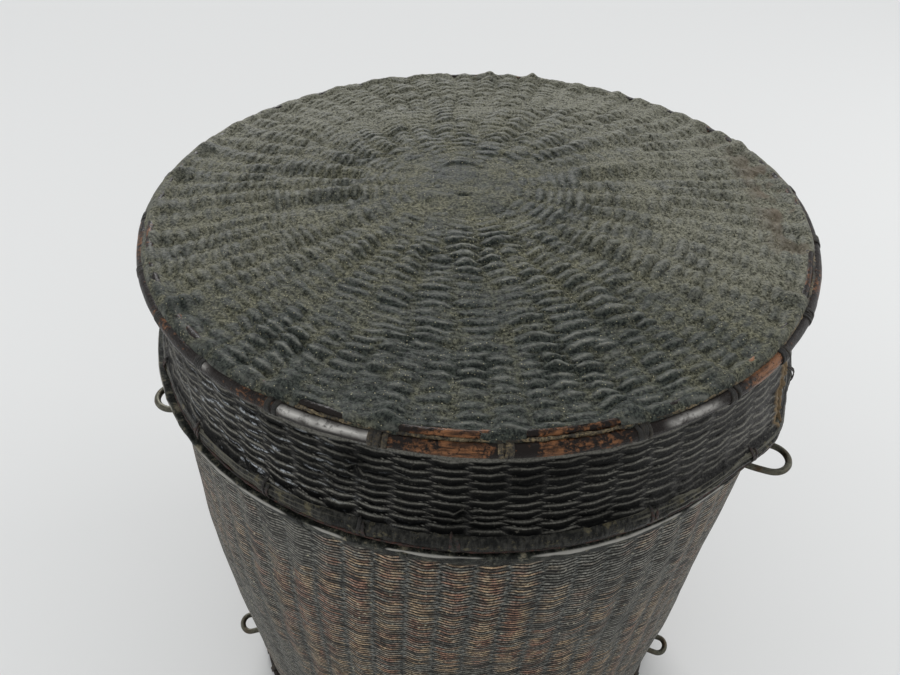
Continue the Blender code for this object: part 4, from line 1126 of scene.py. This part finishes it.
def make_collar():
    """Inner collar that the lid slides over."""
    angle, turns, _ = around(STAKES * 10)
    outline = [
        COLLAR_TOP, (0.165, WALL_TOP_Z), (0.1643, 0.2822), (0.1609, 0.2822), (0.1616, WALL_TOP_Z),
        (0.1585, COLLAR_TOP[1]),
    ]
    at, r, z, out_r, out_z = walk(outline, 0.001)
    cloth = weave(turns * STAKES + 0.5, at / 0.006, 52)
    fade = smooth(0, 0.002, at) * smooth(0, 0.002, at[-1] - at)
    lift = 0.0004 * (cloth.height - 0.5) * fade
    marks = {"relief": cloth.height.clip(0, 1), "tone": chance(cloth.strand, cloth.column * 0, 7)}
    sheets = Sheets().grid(to_space(r + lift * out_r, z + lift * out_z, angle), marks, wrap_rows=True)
    sheets.make("collar", INSIDE, "basket", ["body_collar"], "collar_weave")
    make_inner_ring("collar_strip", (0.1626, 0.3625, 0.003), "basket", "collar_strip", "collar_rods", 33,
                    shape=STRIP_SHAPE, sides=12)
    make_inner_ring("collar_rod", (0.1553, 0.3636, 0.002), "basket", "collar_rod", "collar_rods", 35,
                    sides=10)
    path = [
        (0.1634, 0.3612), (0.1635, 0.364), (0.1628, 0.3657), (0.16, 0.366), (0.156, 0.366),
        (0.1538, 0.3652), (0.1532, 0.3635), (0.1535, 0.362),
    ]
    fibre = fibre_paint("collar_fibre", (0.05, 0.034, 0.018), (0.2, 0.14, 0.075))
    lash("collar_lashing", fibre, "collar_lashing", "collar_binding", COLLAR_KNOTS, path, 0.0046,
         0.0008, 600, wear_and_highlight=1.0)


def make_eye(name, node, azimuth, height, reach, spacing, tilt):
    """A wire eye whose legs pass through the wall and are clinched inside."""
    half = spacing / 2
    face = wall_r(height) - 0.0005
    inner = math.sqrt((face - WALL_THICK - 0.0024) ** 2 - (half + 0.0028) ** 2)
    eye = reach - 0.0016 - half
    legs = [
        (inner - 0.0012, half + 0.0135), (inner - 0.0005, half + 0.008), (inner, half + 0.0028),
        (inner + 0.0008, half + 0.0008), (inner + 0.0028, half), (face, half),
        (face + eye * 0.5, half * 1.04),
    ]
    for k in range(9):
        turn = math.pi / 2 * k / 8
        legs.append((face + eye + half * math.sin(turn), half * math.cos(turn)))
    curve = bpy.data.curves.new(name, 'CURVE')
    curve.dimensions = '3D'
    curve.bevel_depth = WIRE_R
    curve.bevel_resolution = 4
    curve.use_fill_caps = True
    curve.resolution_u = 6
    spline = curve.splines.new('NURBS')
    path = legs + [(x, -y) for x, y in reversed(legs[:-1])]
    spline.points.add(len(path) - 1)
    for point, (x, y) in zip(spline.points, path):
        point.co = (x, y, height + tilt * y * max(x - face, 0.0) / reach, 1.0)
    spline.order_u = 4
    spline.use_endpoint_u = True
    curve.materials.append(WIRE)
    item = link(name, curve)
    item.rotation_euler.z = math.radians(azimuth)
    item.location.x = body_shift(height)
    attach(item, "basket")
    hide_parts(node)


INSIDE = bare_paint("bare_weave", (0.075, 0.048, 0.026), (0.24, 0.16, 0.085))
BARE_ROD = rod_paint("bare_cane", (0.1, 0.062, 0.032), (0.26, 0.17, 0.085), gloss=0.45)
TOP = top_paint()
WIRE = wire_paint()

make_lid_top()
make_hub()
make_skirt()
make_rim()
make_hem()
make_body()
make_ledge()
make_collar()
make_foot()
make_eye("upper_right_eye", "loop_upper_right", -23.2, 0.2613, 0.0254, 0.0205, 0.0)
make_eye("upper_left_eye", "loop_upper_left", -169.9, 0.2613, 0.0196, 0.0212, 0.0)
make_eye("lower_right_eye", "loop_lower_right", -20.8, 0.0385, 0.0163, 0.0115, 0.32)
make_eye("lower_left_eye", "loop_lower_left", -164.0, 0.0385, 0.0173, 0.0125, -0.32)


def make_stage():
    """A wide pale floor."""
    mesh = bpy.data.meshes.new("floor")
    mesh.from_pydata([(-6, -6, 0), (6, -6, 0), (6, 6, 0), (-6, 6, 0)], [], [(0, 1, 2, 3)])
    paint = Paint("pale_floor", 0.05, Roughness=0.9)
    paint.shader.inputs["Base Color"].default_value = (0.79, 0.793, 0.787, 1)
    mesh.materials.append(paint.material)
    link("floor", mesh)


def aim(item, place, target):
    item.location = place
    item.rotation_euler = (Vector(target) - Vector(place)).to_track_quat('-Z', 'Y').to_euler()


def make_lamp(name, place, target, size, power):
    light = bpy.data.lights.new(name, 'AREA')
    light.shape = 'RECTANGLE'
    light.size = light.size_y = size
    light.energy = power
    aim(link(name, light), place, target)


def make_sun(name, place, strength, spread):
    """Far, soft light from a direction; spread is its width in radians."""
    light = bpy.data.lights.new(name, 'SUN')
    light.energy = strength
    light.angle = spread
    aim(link(name, light), place, (0, 0, 0))


def make_world():
    """Even soft light; the background itself shows as a plain pale tone."""
    world = bpy.data.worlds.new("studio")
    world.use_nodes = True
    nodes, links = world.node_tree.nodes, world.node_tree.links
    light = nodes["Background"]
    light.inputs["Color"].default_value = (0.97, 0.985, 1.0, 1)
    light.inputs["Strength"].default_value = 0.64
    shown = nodes.new("ShaderNodeBackground")
    shown.inputs["Color"].default_value = (0.74, 0.748, 0.755, 1)
    path = nodes.new("ShaderNodeLightPath")
    either = path.outputs["Is Camera Ray"]
    for kind in ("Is Glossy Ray", "Is Transmission Ray"):
        most = nodes.new("ShaderNodeMath")
        most.operation = 'MAXIMUM'
        links.new(either, most.inputs[0])
        links.new(path.outputs[kind], most.inputs[1])
        either = most.outputs[0]
    mix = nodes.new("ShaderNodeMixShader")
    for k, output in enumerate((either, light.outputs[0], shown.outputs[0])):
        links.new(output, mix.inputs[k])
    links.new(mix.outputs[0], nodes["World Output"].inputs[0])
    bpy.context.scene.world = world


def make_camera():
    """The photograph's view: 34 mm on a 36 mm sensor, looking down 40 degrees."""
    tip, roll = math.radians(40.249), math.radians(0.929)
    ahead = Vector((0, math.cos(tip), -math.sin(tip)))
    side, up = Vector((1, 0, 0)), Vector((0, math.sin(tip), math.cos(tip)))
    right = side * math.cos(roll) + up * math.sin(roll)
    above = up * math.cos(roll) - side * math.sin(roll)
    camera = link("camera", bpy.data.cameras.new("camera"))
    camera.data.lens, camera.data.sensor_width = 34.0, 36.0
    place = Vector((-0.01435, -0.39007, RIM_Z + 0.23964))
    camera.matrix_world = Matrix.Translation(place) @ Matrix((right, above, -ahead)).transposed().to_4x4()
    bpy.context.scene.camera = camera


make_stage()
make_world()
make_camera()
make_sun("key", (-0.12, 0.9, 0.45), 1.75, 0.4)
make_lamp("side", (1.6, 0.25, 0.9), (0, 0, 0.25), 0.8, 5.6)
make_lamp("fill", (-1.7, -0.35, 0.7), (0, 0, 0.25), 1.2, 5)
bpy.context.scene.view_settings.view_transform = 'Standard'
